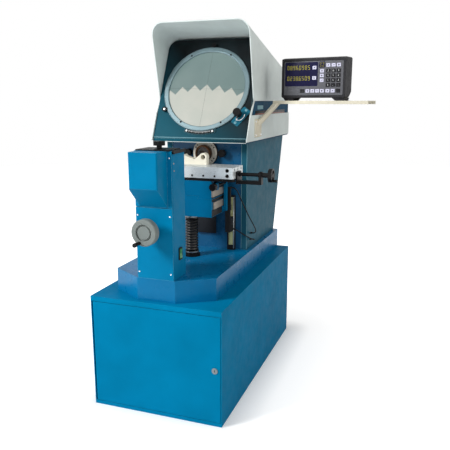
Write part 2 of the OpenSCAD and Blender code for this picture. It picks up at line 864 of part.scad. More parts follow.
// Lamp column
module lamp_column() {
    half = column_w / 2;
    wall = column_wall;
    window = lamp_house_w / 2 - lamp_sheet;
    color(blue) difference() {
        union() {
            difference() {
                translate([0, (column_y + column_back) / 2, base_top]) linear_extrude(column_h)
                    rounded_rect(column_w, column_d, column_round);
                box_at([-half + wall, column_y + wall, base_top - cut],
                    [half - wall, column_back - wall, column_top - wall]);
            }
            rod_y(drive_x, wheel_axis_z, column_back - wall - 24, column_back - wall + cut, wheel_shaft_r + 9);
        }
        box_at([-window, column_y - cut, base_top + 12], [window, column_y + wall + cut, column_top - 18]);
        box_at([-half + 25, column_y + 18, column_top - wall - cut], [half - 25, lid_back - 10, column_top + cut]);
        rod_y(drive_x, wheel_axis_z, column_y + wall + cut, column_back - wall, wheel_shaft_r + run_gap);
        rod_y(0, axis_z, column_back - wall - cut, column_back + cut, collimator_r + run_gap);
        box_at([half - wall - cut, switch_y - rocker_w / 2 - 1, switch_z - rocker_h / 2 - rocker_room],
            [half + cut, switch_y + rocker_w / 2 + 1, switch_z + rocker_h / 2 + rocker_room]);
        rod_x(lever_y, lever_z, half - wall - cut, half + cut, lever_pin_r + run_gap);
    }
}

module column_front_cover() {
    half = column_w / 2;
    color(blue) difference() {
        union() {
            box_at([-half, front_cover_y, base_top], [half, column_y, base_top + front_cover_h]);
            rod_y(drive_x, wheel_axis_z, front_cover_y - 10, front_cover_y + cut, wheel_shaft_r + 10);
        }
        rod_y(drive_x, wheel_axis_z, front_cover_y - 11, column_y + cut, wheel_shaft_r + run_gap);
    }
}

module lamp_house_cover() {
    half = lamp_house_w / 2;
    s = lamp_sheet;
    front = column_y - lamp_house_d;
    low = base_top + front_cover_h + 3;
    face_z = column_top - lamp_house_face_h;
    outline = [[front, column_top], [front, face_z], [column_y - 3, low], [column_y, low], [column_y, column_top]];
    hollow = [[front + s, column_top - s], [front + s, face_z + 0.4 * s], [column_y - 3 + s, low + s],
        [column_y + cut, low + s], [column_y + cut, column_top - s]];
    color(blue) difference() {
        union() {
            intersection() {
                side_prism(outline, -half, half);
                translate([0, column_y, low - cut]) linear_extrude(column_top - low + 2 * cut)
                    rounded_rect(lamp_house_w, 2 * lamp_house_d, column_round);
            }
            box_at([-column_w / 2, front_cover_y, low - lamp_flange_step],
                [column_w / 2, column_y, column_top - lamp_flange_step]);
        }
        side_prism(hollow, -half + s, half - s);
    }
}

module lamp_house_lid() {
    half = column_w / 2 - 8;
    color(black) difference() {
        translate([0, (lid_front + lid_back) / 2, column_top]) linear_extrude(lid_t)
            rounded_rect(2 * half, lid_back - lid_front, 6);
        rod_z(0, lid_knob_y, column_top - cut, column_top + lid_t + cut, 5 + run_gap);
        for (i = [0:4], x = [-30, 30])
            box_at([x - 14, lid_front + 16 + 7 * i, column_top - cut],
                [x + 14, lid_front + 19 + 7 * i, column_top + lid_t + cut]);
    }
}

module lid_knob() {
    z = column_top + lid_t;
    color(black) difference() {
        union() {
            rod_z(0, lid_knob_y, column_top - 10, z + lid_knob_gap, 5);
            rod_z(0, lid_knob_y, z + slide_gap, z + lid_knob_gap + cut, lid_collar_r);
            rod_z(0, lid_knob_y, z + lid_knob_gap, z + lid_knob_gap + lid_knob_h, lid_knob_r);
        }
        for (a = [0:30:330])
            rod_z((lid_knob_r + 1.5) * cos(a), lid_knob_y + (lid_knob_r + 1.5) * sin(a), z + lid_knob_gap - cut,
                z + lid_knob_gap + lid_knob_h + cut, 3.5);
    }
}

module halogen_lamp() {
    half = column_w / 2 - column_wall;
    lamp_y = column_y + 34;
    z = axis_z - 40;
    color([0.8, 0.8, 0.75]) {
        box_at([-half, lamp_y - 15, z - 8], [half, lamp_y + 15, z]);
        box_at([-14, lamp_y - 10, z], [14, lamp_y + 10, z + 20]);
        rod_z(0, lamp_y, z + 20, z + 46, 8);
        translate([0, lamp_y, z + 46]) sphere(8);
    }
}

module collimator_barrel() {
    color(black) difference() {
        union() {
            rod_y(0, axis_z, column_back - 45, column_back + 9, collimator_r);
            rod_y(0, axis_z, column_back, column_back + 9, collimator_r + 8);
        }
        rod_y(0, axis_z, column_back - 46, column_back + 10, collimator_r - 5);
    }
}

module filter_lever() {
    x = column_w / 2 + slide_gap;
    t = 6;
    color(black) {
        rod_x(lever_y, lever_z, column_w / 2 - column_wall, x + t, lever_pin_r);
        rod_x(lever_y, lever_z, x, x + t, 8);
        box_at([x, lever_y, lever_z - 6], [x + t, column_back - 4, lever_z + 6]);
    }
}

module switch_bezel() {
    x = column_w / 2;
    color(black) difference() {
        translate([x, switch_y, switch_z]) rotate([90, 0, 90]) linear_extrude(bezel_t)
            rounded_rect(rocker_w + 9, rocker_h + 13, 5);
        box_at([x - cut, switch_y - rocker_w / 2 - slide_gap, switch_z - rocker_h / 2 - rocker_room],
            [x + bezel_t + cut, switch_y + rocker_w / 2 + slide_gap, switch_z + rocker_h / 2 + rocker_room]);
        rod_y(x + bezel_t / 2, switch_z, switch_y - rocker_w / 2 - 3, switch_y + rocker_w / 2 + 3,
            rocker_pin_r + run_gap);
    }
}

module power_rocker() {
    x = column_w / 2;
    a = rocker_h / 2;
    color([0.10, 0.55, 0.20]) {
        front_prism([[x - 5, switch_z - a], [x + 6, switch_z - a], [x + 4, switch_z], [x + 6, switch_z + a],
            [x - 5, switch_z + a]], switch_y - rocker_w / 2, switch_y + rocker_w / 2);
        rod_y(x + bezel_t / 2, switch_z, switch_y - rocker_w / 2 - 2.5, switch_y + rocker_w / 2 + 2.5,
            rocker_pin_r);
    }
}

// Lift drive
module lift_handwheel() {
    rim = handwheel_r;
    disc = 0.48 * rim;
    groove = 0.62 * rim;
    groove_d = 7;
    edge = 3;
    web = handwheel_t - 10;
    grip_at = rim - 8;
    color(steel) {
        translate([drive_x, wheel_face_y, wheel_axis_z]) rotate([-90, 0, 0]) rotate_extrude()
            polygon([[0, 2], [disc, 2], [disc + 1, edge], [disc + 1, groove_d], [groove, groove_d], [groove, 1],
                [groove + 1, 0], [rim - edge, 0], [rim, edge], [rim, handwheel_t - edge], [rim - edge, handwheel_t],
                [rim - 7, handwheel_t], [rim - 7, web], [0, web]]);
        rod_y(drive_x, wheel_axis_z, wheel_face_y + web - cut, front_cover_y - 10 - slide_gap, 18);
        rod_y(drive_x, wheel_axis_z, wheel_face_y + web - cut, column_back - column_wall - 2, wheel_shaft_r);
        rod_y(drive_x, wheel_axis_z, chain_y - sprocket_w / 2, chain_y + sprocket_w / 2, sprocket_r);
        rod_y(drive_x + grip_at * cos(245), wheel_axis_z + grip_at * sin(245), wheel_face_y - 36,
            wheel_face_y + 6, grip_pin_r);
    }
}

module lift_grip() {
    grip_at = handwheel_r - 8;
    x = drive_x + grip_at * cos(245);
    z = wheel_axis_z + grip_at * sin(245);
    color(black) difference() {
        union() {
            rod_y(x, z, wheel_face_y - 34, wheel_face_y - slide_gap, 6.5);
            rod_y(x, z, wheel_face_y - 38, wheel_face_y - 24, 8);
        }
        rod_y(x, z, wheel_face_y - 36 - slide_gap, wheel_face_y + cut, grip_pin_r + run_gap);
    }
}

module chain_loop(r) {
    circle(r);
    translate([0, cross_z - wheel_axis_z]) circle(r);
    translate([-r, cross_z - wheel_axis_z]) square([2 * r, wheel_axis_z - cross_z]);
}

module drive_chain() {
    inner = sprocket_r + slide_gap;
    color([0.25, 0.25, 0.26]) translate([drive_x, chain_y + chain_w / 2, wheel_axis_z]) rotate([90, 0, 0])
        linear_extrude(chain_w) difference() {
            chain_loop(inner + chain_t);
            chain_loop(inner);
        }
}

module cross_shaft() {
    large_y = stage_y - bevel_r;
    small = bevel_r - 12;
    color(steel) {
        rod_y(drive_x, cross_z, chain_y - 44, large_y + 12, cross_shaft_r);
        rod_y(drive_x, cross_z, chain_y - sprocket_w / 2, chain_y + sprocket_w / 2, sprocket_r);
        translate([drive_x, large_y, cross_z]) rotate([-90, 0, 0])
            cylinder(h = 12 - slide_gap, r1 = bevel_r - slide_gap, r2 = small);
        rod_y(drive_x, cross_z, large_y - 10, large_y + cut, bevel_r - 4);
    }
}

module lift_screw() {
    low = cross_z + bevel_r - 12;
    high = saddle_top - knee_wall - 51 - 6;
    color(steel) {
        rod_z(drive_x, stage_y, low + 6, high, lift_screw_r);
        translate([drive_x, stage_y, low + slide_gap])
            cylinder(h = 12 - slide_gap, r1 = bevel_r - 12, r2 = bevel_r - slide_gap);
    }
}

module screw_bearing() {
    sleeve_r = lift_screw_r + 8;
    ceiling = base_top - base_wall;
    color(black) difference() {
        union() {
            rod_z(drive_x, stage_y, base_top, base_top + 8, bellows_r + 7);
            rod_z(drive_x, stage_y, base_top, base_top + 24, bellows_r);
            rod_z(drive_x, stage_y, ceiling, base_top + cut, sleeve_r);
        }
        rod_z(drive_x, stage_y, ceiling - cut, base_top + 25, lift_screw_r + run_gap);
    }
}

module lift_bellows() {
    low = base_top + 24;
    collar = 20;
    folds = 9;
    pitch = (knee_z - collar - low) / folds;
    bore = lift_screw_r + 4;
    valley = bellows_r - 5;
    outline = concat([[bore, low]],
        [for (i = [0:folds - 1]) each [[valley, low + pitch * i], [bellows_r, low + pitch * (i + 0.5)]]],
        [[valley, knee_z - collar], [bellows_r + 1, knee_z - collar], [bellows_r + 1, knee_z], [bore, knee_z]]);
    color(black) translate([drive_x, stage_y, 0]) rotate_extrude() polygon(outline);
}

// Stage
module knee_rail() {
    color(steel) translate([0, body_y, rail_z]) rotate([0, 0, 180]) linear_extrude(rail_top - rail_z)
        polygon(dovetail(rail_half, tongue_flare, rail_t, 0));
}

module knee() {
    half = knee_w / 2;
    w = knee_wall;
    color(blue) difference() {
        union() {
            box_at([-half, knee_front, knee_z], [half, knee_y, knee_top]);
            box_at([-guide_half, knee_y - cut, knee_z], [guide_half, body_y - slide_gap, knee_top]);
            front_prism(moved(dovetail(tongue_half, tongue_flare, tongue_h, 0), 0, knee_top),
                knee_front, knee_y - 5);
            box_at([half, nut_plate_y, knee_z + 8], [focus_x + 7, nut_plate_y + 16, knee_z + 29]);
            box_at([half + way_bar_t + 1, nut_plate_y, knee_z + 8],
                [focus_x + 7, nut_plate_y + 16, focus_z + 9]);
        }
        difference() {
            box_at([-half + w, knee_front + w, knee_z - cut], [half - w, knee_y - w, knee_top - w]);
            rod_z(drive_x, stage_y, knee_z - 2 * cut, knee_top, lift_screw_r + 16);
        }
        rod_z(drive_x, stage_y, knee_z - cut, knee_top + 2 * tongue_h, lift_screw_r + run_gap);
        rod_z(drive_x, stage_y, knee_z + 40, knee_top + 2 * tongue_h, lift_screw_r + 4);
        translate([0, body_y, knee_z - cut]) rotate([0, 0, 180]) linear_extrude(knee_h + 3 * cut)
            polygon(dovetail(rail_half, tongue_flare, rail_t, slide_gap));
        rod_y(focus_x, focus_z, nut_plate_y - cut, nut_plate_y + 17, focus_screw_r + run_gap);
    }
}

module way_bars(z, y0, y1) {
    half = knee_w / 2;
    for (x = [-half - way_bar_t, half])
        box_at([x, y0, z], [x + way_bar_t, y1, z + way_bar_h]);
}

module knee_way_bars() {
    color(steel) way_bars(knee_top - 44, knee_front + 16, knee_y - 12);
}

module saddle_way_bars() {
    color(steel) way_bars(saddle_z + 9, knee_front, knee_y - 6);
}

module saddle() {
    half = knee_w / 2;
    w = knee_wall;
    back = knee_y - 5;
    nut_top = feed_z + feed_screw_r + 4;
    color(blue) difference() {
        union() {
            difference() {
                box_at([-half, knee_front, saddle_z], [half, back, saddle_top]);
                box_at([-half + w, knee_front + w, saddle_z + tongue_h + 6], [half - w, back - w, saddle_top - w]);
            }
            side_prism(moved(dovetail(feed_tongue_half, tongue_flare, feed_tongue_h, 0), stage_y, saddle_top),
                -feed_tongue_x, feed_tongue_x);
            box_at([-feed_nut_half, stage_y - feed_channel_half + 2, saddle_top],
                [feed_nut_half, stage_y + feed_channel_half - 2, nut_top]);
            box_at([half - cut, knee_front, focus_z - 13], [focus_x + 13, knee_front + lug_l, focus_z + 13]);
        }
        front_prism(moved(dovetail(tongue_half, tongue_flare, tongue_h, slide_gap), 0, knee_top),
            knee_front - cut, back + cut);
        box_at([drive_x - 20, stage_y - 45, saddle_z - cut], [drive_x + 20, stage_y + 45, saddle_top - w]);
        box_at([feed_tongue_x, stage_y - end_plate_half - 5, bracket_z - 5],
            [half + cut, stage_y + end_plate_half + 5, saddle_top + cut]);
        rod_x(stage_y, feed_z, -feed_nut_half - cut, feed_nut_half + cut, feed_screw_r + run_gap);
        rod_y(focus_x, focus_z, knee_front - cut, knee_front + lug_l + cut, focus_screw_r + run_gap);
    }
}

module focus_knob() {
    color(black) {
        rod_y(focus_x, focus_z, knee_front - 8, nut_plate_y + 50, focus_screw_r);
        difference() {
            rod_y(focus_x, focus_z, knee_front - 24, knee_front - slide_gap, focus_knob_r);
            for (a = [0:36:324])
                rod_y(focus_x + (focus_knob_r + 1) * cos(a), focus_z + (focus_knob_r + 1) * sin(a),
                    knee_front - 25, knee_front - 6, 2.5);
        }
    }
}

module table() {
    half = table_l / 2;
    front = stage_y - table_d / 2;
    hole_pitch = 49.5;
    color(silver) difference() {
        box_at([-half, front, table_z], [half, front + table_d, table_top]);
        for (i = [-1:1]) {
            y = stage_y + i * slot_pitch;
            box_at([-half - cut, y - slot_mouth_w / 2, table_top - slot_neck - cut],
                [half + cut, y + slot_mouth_w / 2, table_top + cut]);
            box_at([-half - cut, y - slot_foot_w / 2, table_top - slot_depth],
                [half + cut, y + slot_foot_w / 2, table_top - slot_neck]);
        }
        box_at([-half - cut, stage_y - feed_channel_half, table_z - cut],
            [half + cut, stage_y + feed_channel_half, feed_z + feed_screw_r + 7]);
        for (i = [-2.5:1:2.5])
            rod_y(i * hole_pitch, table_z + 10, front - cut, front + 8, 3);
        for (x = [-half + 25, half - 25], z = [table_z + 12, table_z + 34])
            rod_y(x, z, front - cut, front + 10, 8);
    }
}

module table_base() {
    half = table_l / 2;
    edge = table_d / 2 - 5;
    outer = [[-edge, strip_z], [edge, strip_z], [edge, table_z], [-edge, table_z]];
    color(black) {
        difference() {
            side_prism(moved(outer, stage_y, 0), -half, half);
            side_prism(moved(dovetail(feed_tongue_half, tongue_flare, feed_tongue_h, slide_gap),
                stage_y, saddle_top), -half - cut, half + cut);
            box_at([-half - cut, stage_y - feed_tongue_half - 4, strip_z + feed_tongue_h - cut],
                [half + cut, stage_y + feed_tongue_half + 4, table_z + cut]);
        }
        difference() {
            union() {
                box_at([half, stage_y - end_plate_half, bracket_z],
                    [half + end_plate_t, stage_y + end_plate_half, feed_z + 12]);
                box_at([half, stage_y - bracket_half, bracket_z],
                    [bracket_x + bracket_t, stage_y + bracket_half, bracket_z + 14]);
                box_at([bracket_x, stage_y - bracket_half, bracket_z],
                    [bracket_x + bracket_t, stage_y + bracket_half, feed_z]);
                rod_x(stage_y, feed_z, bracket_x, bracket_x + bracket_t, bracket_half);
            }
            rod_x(stage_y, feed_z, half - cut, bracket_x + bracket_t + cut, feed_screw_r + run_gap);
        }
    }
}

module vee_rest() {
    deep = 30;
    left = 48;
    nose = [42, 32];
    nose_r = 17;
    valley = [2, 21];
    rise = 43;
    inside = nose_r - 0.5;
    edge = nose + inside * [-sin(rise), cos(rise)];
    color(cream) translate([0, stage_y + 45, table_top]) rotate([90, 0, 0]) linear_extrude(deep) difference() {
        union() {
            polygon([[-left, 0], [nose[0] + inside, 0], [nose[0] + inside, nose[1]], nose, edge, valley,
                [-8, 26], [-20, 29], [-32, 33], [-40, 38], [-left + 4, 42], [-left, 40]]);
            translate(nose) circle(nose_r);
        }
        translate(nose) circle(nose_r - 7);
    }
}

module x_handwheel() {
    face = feed_face_x;
    color(black) {
        rod_x(stage_y, feed_z, -130, face - 4, feed_screw_r);
        difference() {
            rod_x(stage_y, feed_z, face - 16, face, feed_wheel_r);
            difference() {
                rod_x(stage_y, feed_z, face - 5, face + cut, feed_wheel_r - 6);
                rod_x(stage_y, feed_z, face - 6, face + 2 * cut, 10);
            }
        }
        rod_x(stage_y, feed_z, bracket_x + bracket_t + slide_gap, face - 15, 10);
        rod_x(stage_y, feed_z - feed_wheel_r + 6, face - 10, face + 15, grip_pin_r);
    }
}

module x_grip() {
    face = feed_face_x;
    z = feed_z - feed_wheel_r + 6;
    color(black) difference() {
        rod_x(stage_y, z, face + slide_gap, face + 18, 5.5);
        rod_x(stage_y, z, face - cut, face + 15 + slide_gap, grip_pin_r + run_gap);
    }
}

module y_reader_head() {
    x = knee_w / 2;
    head_y = body_y - scale_t - 1.5;
    color(black) {
        box_at([x, knee_y - 24, knee_z + 3], [reader_x, knee_y - 4, knee_z + 27]);
        box_at([x + way_bar_t + 2, knee_y - 22, knee_z + 3], [reader_x, knee_y - 10, knee_z + reader_up]);
        box_at([x + 4, knee_y - 22, knee_z - reader_down], [reader_x - 2, knee_y - 10, knee_z + 10]);
        box_at([x + 2, knee_y - 12, knee_z - reader_down], [reader_x, head_y, knee_z - 30]);
    }
}

module scale_housing() {
    w = 6;
    color(black) difference() {
        box_at([scale_x, body_y - scale_t, base_top], [scale_x + scale_w, body_y - cover_sheet - slide_gap,
            base_top + scale_h]);
        box_at([scale_x + w, body_y - scale_t - cut, base_top + 22],
            [scale_x + scale_w - w, body_y - scale_t + 3, base_top + scale_h - 6]);
    }
}

// Readout
module readout_arm() {
    x = head_w / 2;
    y = arm_run_y;
    z = lower_cover_top - arm_drop;
    t = arm_sheet;
    tray_w = readout_w + tray_left + tray_right;
    tray_deep = readout_d + tray_front + tray_back;
    color(ivory) {
        translate([x, y, z]) rotate([90, 0, 90]) linear_extrude(t) rounded_rect(arm_plate_w, arm_plate_h, 6);
        hull() {
            box_at([x + 1, y - arm_w / 2, z + 6], [x + t + 2, y + arm_w / 2, z + 6 + arm_t]);
            on_readout() translate([-tray_left + 6, -tray_front + 6, -foot_h - t - 4]) cube([arm_t, arm_w, 5]);
        }
        on_readout() translate([-tray_left, -tray_front, -foot_h - t]) {
            cube([tray_w, tray_deep, t]);
            translate([0, 0, t - tray_rim]) cube([tray_w, t, tray_rim]);
            translate([0, tray_deep - t, t - tray_rim]) cube([tray_w, t, tray_rim]);
        }
    }
}

// A foot rail as [across, up] under the case, wide at the top
module foot_rail(top, bottom) {
    translate([0, readout_d - 6, 0]) rotate([90, 0, 0]) linear_extrude(readout_d - 12)
        polygon([[bottom[0], -foot_h], [bottom[1], -foot_h], [top[1], cut], [top[0], cut]]);
}

module readout_housing() {
    r = 8;
    m = face_margin;
    h = readout_h;
    front_h = h - brow;
    color([0.2, 0.2, 0.21]) on_readout() {
        difference() {
            intersection() {
                translate([readout_w / 2, readout_d + cut, h / 2]) rotate([90, 0, 0])
                    linear_extrude(readout_d + 2 * cut) rounded_rect(readout_w, h, r);
                side_prism([[0, 0], [readout_d - 30, 0], [readout_d, 26], [readout_d, h], [4 * brow, h],
                    [0, front_h]], -cut, readout_w + cut);
            }
            translate([m, -cut, m]) cube([readout_w - 2 * m, face_recess + cut, front_h - 2 * m]);
        }
        foot_rail([5, 63], [14, 50]);
        foot_rail([readout_w - 61, readout_w - 5], [readout_w - 45, readout_w - 9]);
    }
}

// A key standing on the readout's face, centred at across and up
module key(across, up) {
    w = 18;
    h = 15;
    translate([across - w / 2, face_recess - 4, up - h / 2]) cube([w, 4, h]);
}

// Columns and rows of the keys on the readout's face
pad_x = [214, 237, 260];
pad_z = [53, 72.5, 92, 111];
top_row = 134;
low_row = 29;
axis_column = 152;
menu_column = 186.5;
low_pale = [123, 145.5, 167.5, 189, 214, 237];
low_black = [98, 260];

module readout_keys_pale() {
    color([0.85, 0.85, 0.92]) on_readout() {
        for (z = [82.5, 125])
            key(axis_column, z);
        for (z = [pad_z[1], pad_z[2], pad_z[3]])
            key(menu_column, z);
        for (x = pad_x)
            key(x, top_row);
        for (x = low_pale)
            key(x, low_row);
    }
}

module readout_keys_black() {
    color(black) on_readout() {
        for (x = pad_x, z = pad_z)
            key(x, z);
        for (x = low_black)
            key(x, low_row);
    }
}

module signal_cable_x() {
    color(black) tube(cable_x_route, cable_r);
}

module signal_cable_y() {
    color(black) tube(cable_y_route, cable_r);
}

cabinet_shell();
cabinet_door();
door_lock();
base_casting();
body_frame();
body_cover();
head_casting();
head_lower_cover();
hood();
screen_panel();
screen_ring();
screen_glass();
guide_roller_top();
guide_roller_left();
drive_plate();
screen_drive_knob();
screen_clamp_lever();
rear_mirror();
mirror_cradle();
lens_flange();
lens_barrel();
optics_glass();
lens_knob_left();
lens_knob_right();
lamp_column();
column_front_cover();
lamp_house_cover();
lamp_house_lid();
lid_knob();
halogen_lamp();
collimator_barrel();
filter_lever();
switch_bezel();
power_rocker();
lift_handwheel();
lift_grip();
drive_chain();
cross_shaft();
lift_screw();
screw_bearing();
lift_bellows();
knee_rail();
knee();
knee_way_bars();
y_reader_head();
saddle();
saddle_way_bars();
focus_knob();
table();
table_base();
vee_rest();
x_handwheel();
x_grip();
scale_housing();
readout_arm();
readout_housing();
readout_keys_pale();
readout_keys_black();
signal_cable_x();
signal_cable_y();
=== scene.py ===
import math

import bmesh
import bpy
from mathutils import Matrix, Vector


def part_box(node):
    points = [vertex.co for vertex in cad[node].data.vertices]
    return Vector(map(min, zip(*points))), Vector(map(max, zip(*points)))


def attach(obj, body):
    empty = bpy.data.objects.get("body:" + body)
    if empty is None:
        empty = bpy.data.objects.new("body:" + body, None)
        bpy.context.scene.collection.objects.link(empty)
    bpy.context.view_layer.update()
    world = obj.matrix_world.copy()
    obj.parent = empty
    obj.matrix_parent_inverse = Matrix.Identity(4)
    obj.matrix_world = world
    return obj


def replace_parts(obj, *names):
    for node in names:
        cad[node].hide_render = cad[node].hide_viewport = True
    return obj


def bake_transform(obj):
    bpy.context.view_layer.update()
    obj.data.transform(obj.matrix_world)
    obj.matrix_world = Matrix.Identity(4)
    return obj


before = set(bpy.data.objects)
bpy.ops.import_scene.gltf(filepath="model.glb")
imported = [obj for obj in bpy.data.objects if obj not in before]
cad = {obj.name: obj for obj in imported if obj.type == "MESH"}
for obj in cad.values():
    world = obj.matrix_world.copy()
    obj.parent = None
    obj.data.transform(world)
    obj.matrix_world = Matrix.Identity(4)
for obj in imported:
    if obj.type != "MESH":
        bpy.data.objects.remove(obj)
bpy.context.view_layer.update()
MM = 0.001

# Places that the scene shares with the part, in millimetres
SCREEN_CENTRE = (0.0, 49.0, 1262.0)
SCREEN_TILT = math.radians(25)
SCREEN_R = 176.5
RING_R = 198.0
RING_FRONT = 8.0
READOUT_CORNER = (308.0, 170.0, 1224.0)
READOUT_TURN = math.radians(-11.5)
COLUMN_HALF = 75.0
COLUMN_FRONT = -489.0
TABLE_FRONT = -183.0
LENS_FACE = 25.0
COVER_FRONT = 42.0
LENS_AXIS_Z = 985.0
FLANGE_SCREW_R = 49.0
ARM_PLATE = (226.0, 95.0, 1095.0)
FEED_START = (210.4, -120.0, 916.0)
KNEE_SIDE = 108.0
BAND_SIDE = 218.0
DRIVE_ANGLE = -36.0
ROLLER_CAP = (206.4, 13.4)
BELLOWS_AXIS = (-6.0, -120.0)
BELLOWS_LOW = 575.0
BELLOWS_HIGH = 736.2


def srgb(red, green, blue):
    """Colour as read off a picture, turned into the shader's linear values."""
    def linear(level):
        level /= 255
        return level / 12.92 if level <= 0.04045 else ((level + 0.055) / 1.055) ** 2.4
    return (linear(red), linear(green), linear(blue), 1.0)


# Node helpers
def new_finish(name):
    """A new material, with its node tree and its shader."""
    material = bpy.data.materials.new(name)
    material.use_nodes = True
    tree = material.node_tree
    return material, tree, tree.nodes["Principled BSDF"]


def own_place(tree, stretch=(1, 1, 1), turn=(0, 0, 0), shift=(0, 0, 0)):
    """The place on the piece, in its own coordinates."""
    coordinates = tree.nodes.new("ShaderNodeTexCoord")
    mapping = tree.nodes.new("ShaderNodeMapping")
    mapping.inputs["Location"].default_value = shift
    mapping.inputs["Rotation"].default_value = turn
    mapping.inputs["Scale"].default_value = stretch
    tree.links.new(coordinates.outputs["Object"], mapping.inputs["Vector"])
    return mapping.outputs["Vector"]


def grain(tree, scale, detail=2.0, stretch=(1, 1, 1)):
    """Noise between nought and one, fixed to the piece."""
    noise = tree.nodes.new("ShaderNodeTexNoise")
    noise.inputs["Scale"].default_value = scale
    noise.inputs["Detail"].default_value = detail
    tree.links.new(own_place(tree, stretch), noise.inputs["Vector"])
    return noise.outputs["Fac"]


def spread(tree, value, low, high, start=0.3, end=0.7):
    """Carries a value from the range start to end over to the range low to high."""
    ranged = tree.nodes.new("ShaderNodeMapRange")
    ranged.inputs["From Min"].default_value = start
    ranged.inputs["From Max"].default_value = end
    ranged.inputs["To Min"].default_value = low
    ranged.inputs["To Max"].default_value = high
    tree.links.new(value, ranged.inputs["Value"])
    return ranged.outputs["Result"]


def calc(tree, operation, first, second=None):
    """One step of arithmetic on numbers or sockets."""
    maths = tree.nodes.new("ShaderNodeMath")
    maths.operation = operation
    for socket, value in zip(maths.inputs, (first, second)):
        if isinstance(value, (int, float)):
            socket.default_value = value
        elif value is not None:
            tree.links.new(value, socket)
    return maths.outputs["Value"]


def tint(tree, share, first, second):
    """A mix of two colours."""
    mix = tree.nodes.new("ShaderNodeMix")
    mix.data_type = "RGBA"
    tree.links.new(share, mix.inputs["Factor"])
    for socket, colour in ((mix.inputs[6], first), (mix.inputs[7], second)):
        if isinstance(colour, tuple):
            socket.default_value = colour
        else:
            tree.links.new(colour, socket)
    return mix.outputs[2]


def shade(colour, level):
    """The colour, lighter or darker."""
    return tuple(min(1.0, c * level) for c in colour[:3]) + (1.0,)


def rounded_normal(tree, radius):
    """The surface's normal, softened along sharp edges."""
    bevel = tree.nodes.new("ShaderNodeBevel")
    bevel.samples = 4
    bevel.inputs["Radius"].default_value = radius
    return bevel.outputs["Normal"]


def edge_share(tree, normal):
    """Nought on a flat, rising to one where the surface turns a corner."""
    geometry = tree.nodes.new("ShaderNodeNewGeometry")
    dot = tree.nodes.new("ShaderNodeVectorMath")
    dot.operation = "DOT_PRODUCT"
    tree.links.new(normal, dot.inputs[0])
    tree.links.new(geometry.outputs["Normal"], dot.inputs[1])
    return spread(tree, dot.outputs["Value"], 1.0, 0.0, 0.75, 0.98)


def relief(tree, shader, height, depth, normal=None):
    """Gives the shader a fine surface texture."""
    bump = tree.nodes.new("ShaderNodeBump")
    bump.inputs["Distance"].default_value = depth
    tree.links.new(height, bump.inputs["Height"])
    if normal is not None:
        tree.links.new(normal, bump.inputs["Normal"])
    tree.links.new(bump.outputs["Normal"], shader.inputs["Normal"])


def mottle(tree, shader, scale, detail, low, high):
    """Lets the roughness wander between two values."""
    tree.links.new(spread(tree, grain(tree, scale, detail), low, high), shader.inputs["Roughness"])


def screen_place(tree):
    """The place on the screen: across, up and out from its middle."""
    angle = SCREEN_TILT - math.pi / 2
    middle = Matrix.Rotation(angle, 4, "X") @ (Vector(SCREEN_CENTRE) * MM)
    return own_place(tree, turn=(angle, 0, 0), shift=tuple(-middle))


# Finishes
def enamel(name, colour, edge_wear_and_highlight, roughness, rounding=0.0025, peel=900, depth=0.00008, gloss=0.04):
    """Sprayed paint with orange peel, faint clouds and a paler line along its edges, partly wear and partly
    painted highlight.
    """
    material, tree, shader = new_finish(name)
    normal = rounded_normal(tree, rounding)
    clouds = tint(tree, spread(tree, grain(tree, 7, 4), 0, 1), shade(colour, 0.9), shade(colour, 1.07))
    # Paler line along the edges: partly wear, partly painted highlight.
    edge_wear_and_highlight_share = calc(tree, "MULTIPLY", edge_share(tree, normal), spread(tree, grain(tree, 55, 4), 0.15, 0.75))
    tree.links.new(tint(tree, edge_wear_and_highlight_share, clouds, edge_wear_and_highlight), shader.inputs["Base Color"])
    mottle(tree, shader, 30, 5, roughness - 0.06, roughness + 0.08)
    shader.inputs["Specular IOR Level"].default_value = gloss
    relief(tree, shader, grain(tree, peel, 1.5), depth, normal)
    return material


def brushed(name, colour, roughness, stretch, rounding=0.0012, depth=0.00003, metal=1.0):
    """Ground or plated metal with fine lines along one way."""
    material, tree, shader = new_finish(name)
    normal = rounded_normal(tree, rounding)
    lines = grain(tree, 60, 5, stretch)
    blotch = spread(tree, grain(tree, 18, 3), 0, 1)
    tone = tint(tree, blotch, shade(colour, 0.86), shade(colour, 1.05))
    streak = spread(tree, lines, 0.0, 0.35)
    tree.links.new(tint(tree, streak, tone, shade(colour, 0.72)), shader.inputs["Base Color"])
    shader.inputs["Metallic"].default_value = metal
    tree.links.new(spread(tree, lines, roughness - 0.08, roughness + 0.1), shader.inputs["Roughness"])
    relief(tree, shader, lines, depth, normal)
    return material


def moulded(name, colour, roughness, pitch=1500, depth=0.00006, rounding=0.0012, scuff=1.25, gloss=0.18):
    """Moulded plastic or rubber with a fine tooth and dusty scuffs."""
    material, tree, shader = new_finish(name)
    normal = rounded_normal(tree, rounding)
    dust = spread(tree, grain(tree, 24, 5), 0, 1, 0.45, 0.75)
    # Paler edges: partly rubbing, partly painted highlight.
    rubbed_edge_and_highlight = calc(tree, "MULTIPLY", edge_share(tree, normal), 0.35)
    base = tint(tree, dust, colour, shade(colour, scuff))
    tree.links.new(tint(tree, rubbed_edge_and_highlight, base, shade(colour, 2.2)), shader.inputs["Base Color"])
    mottle(tree, shader, 45, 3, roughness - 0.07, roughness + 0.1)
    shader.inputs["Specular IOR Level"].default_value = gloss
    relief(tree, shader, grain(tree, pitch, 1), depth, normal)
    return material


def lens_glass(name, colour, roughness, see_through):
    """Glass with faint smears."""
    material, tree, shader = new_finish(name)
    smear = spread(tree, grain(tree, 26, 4), 0, 1)
    tree.links.new(tint(tree, smear, shade(colour, 0.92), colour), shader.inputs["Base Color"])
    mottle(tree, shader, 60, 4, roughness, roughness + 0.05)
    shader.inputs["Transmission Weight"].default_value = see_through
    shader.inputs["IOR"].default_value = 1.5
    return material
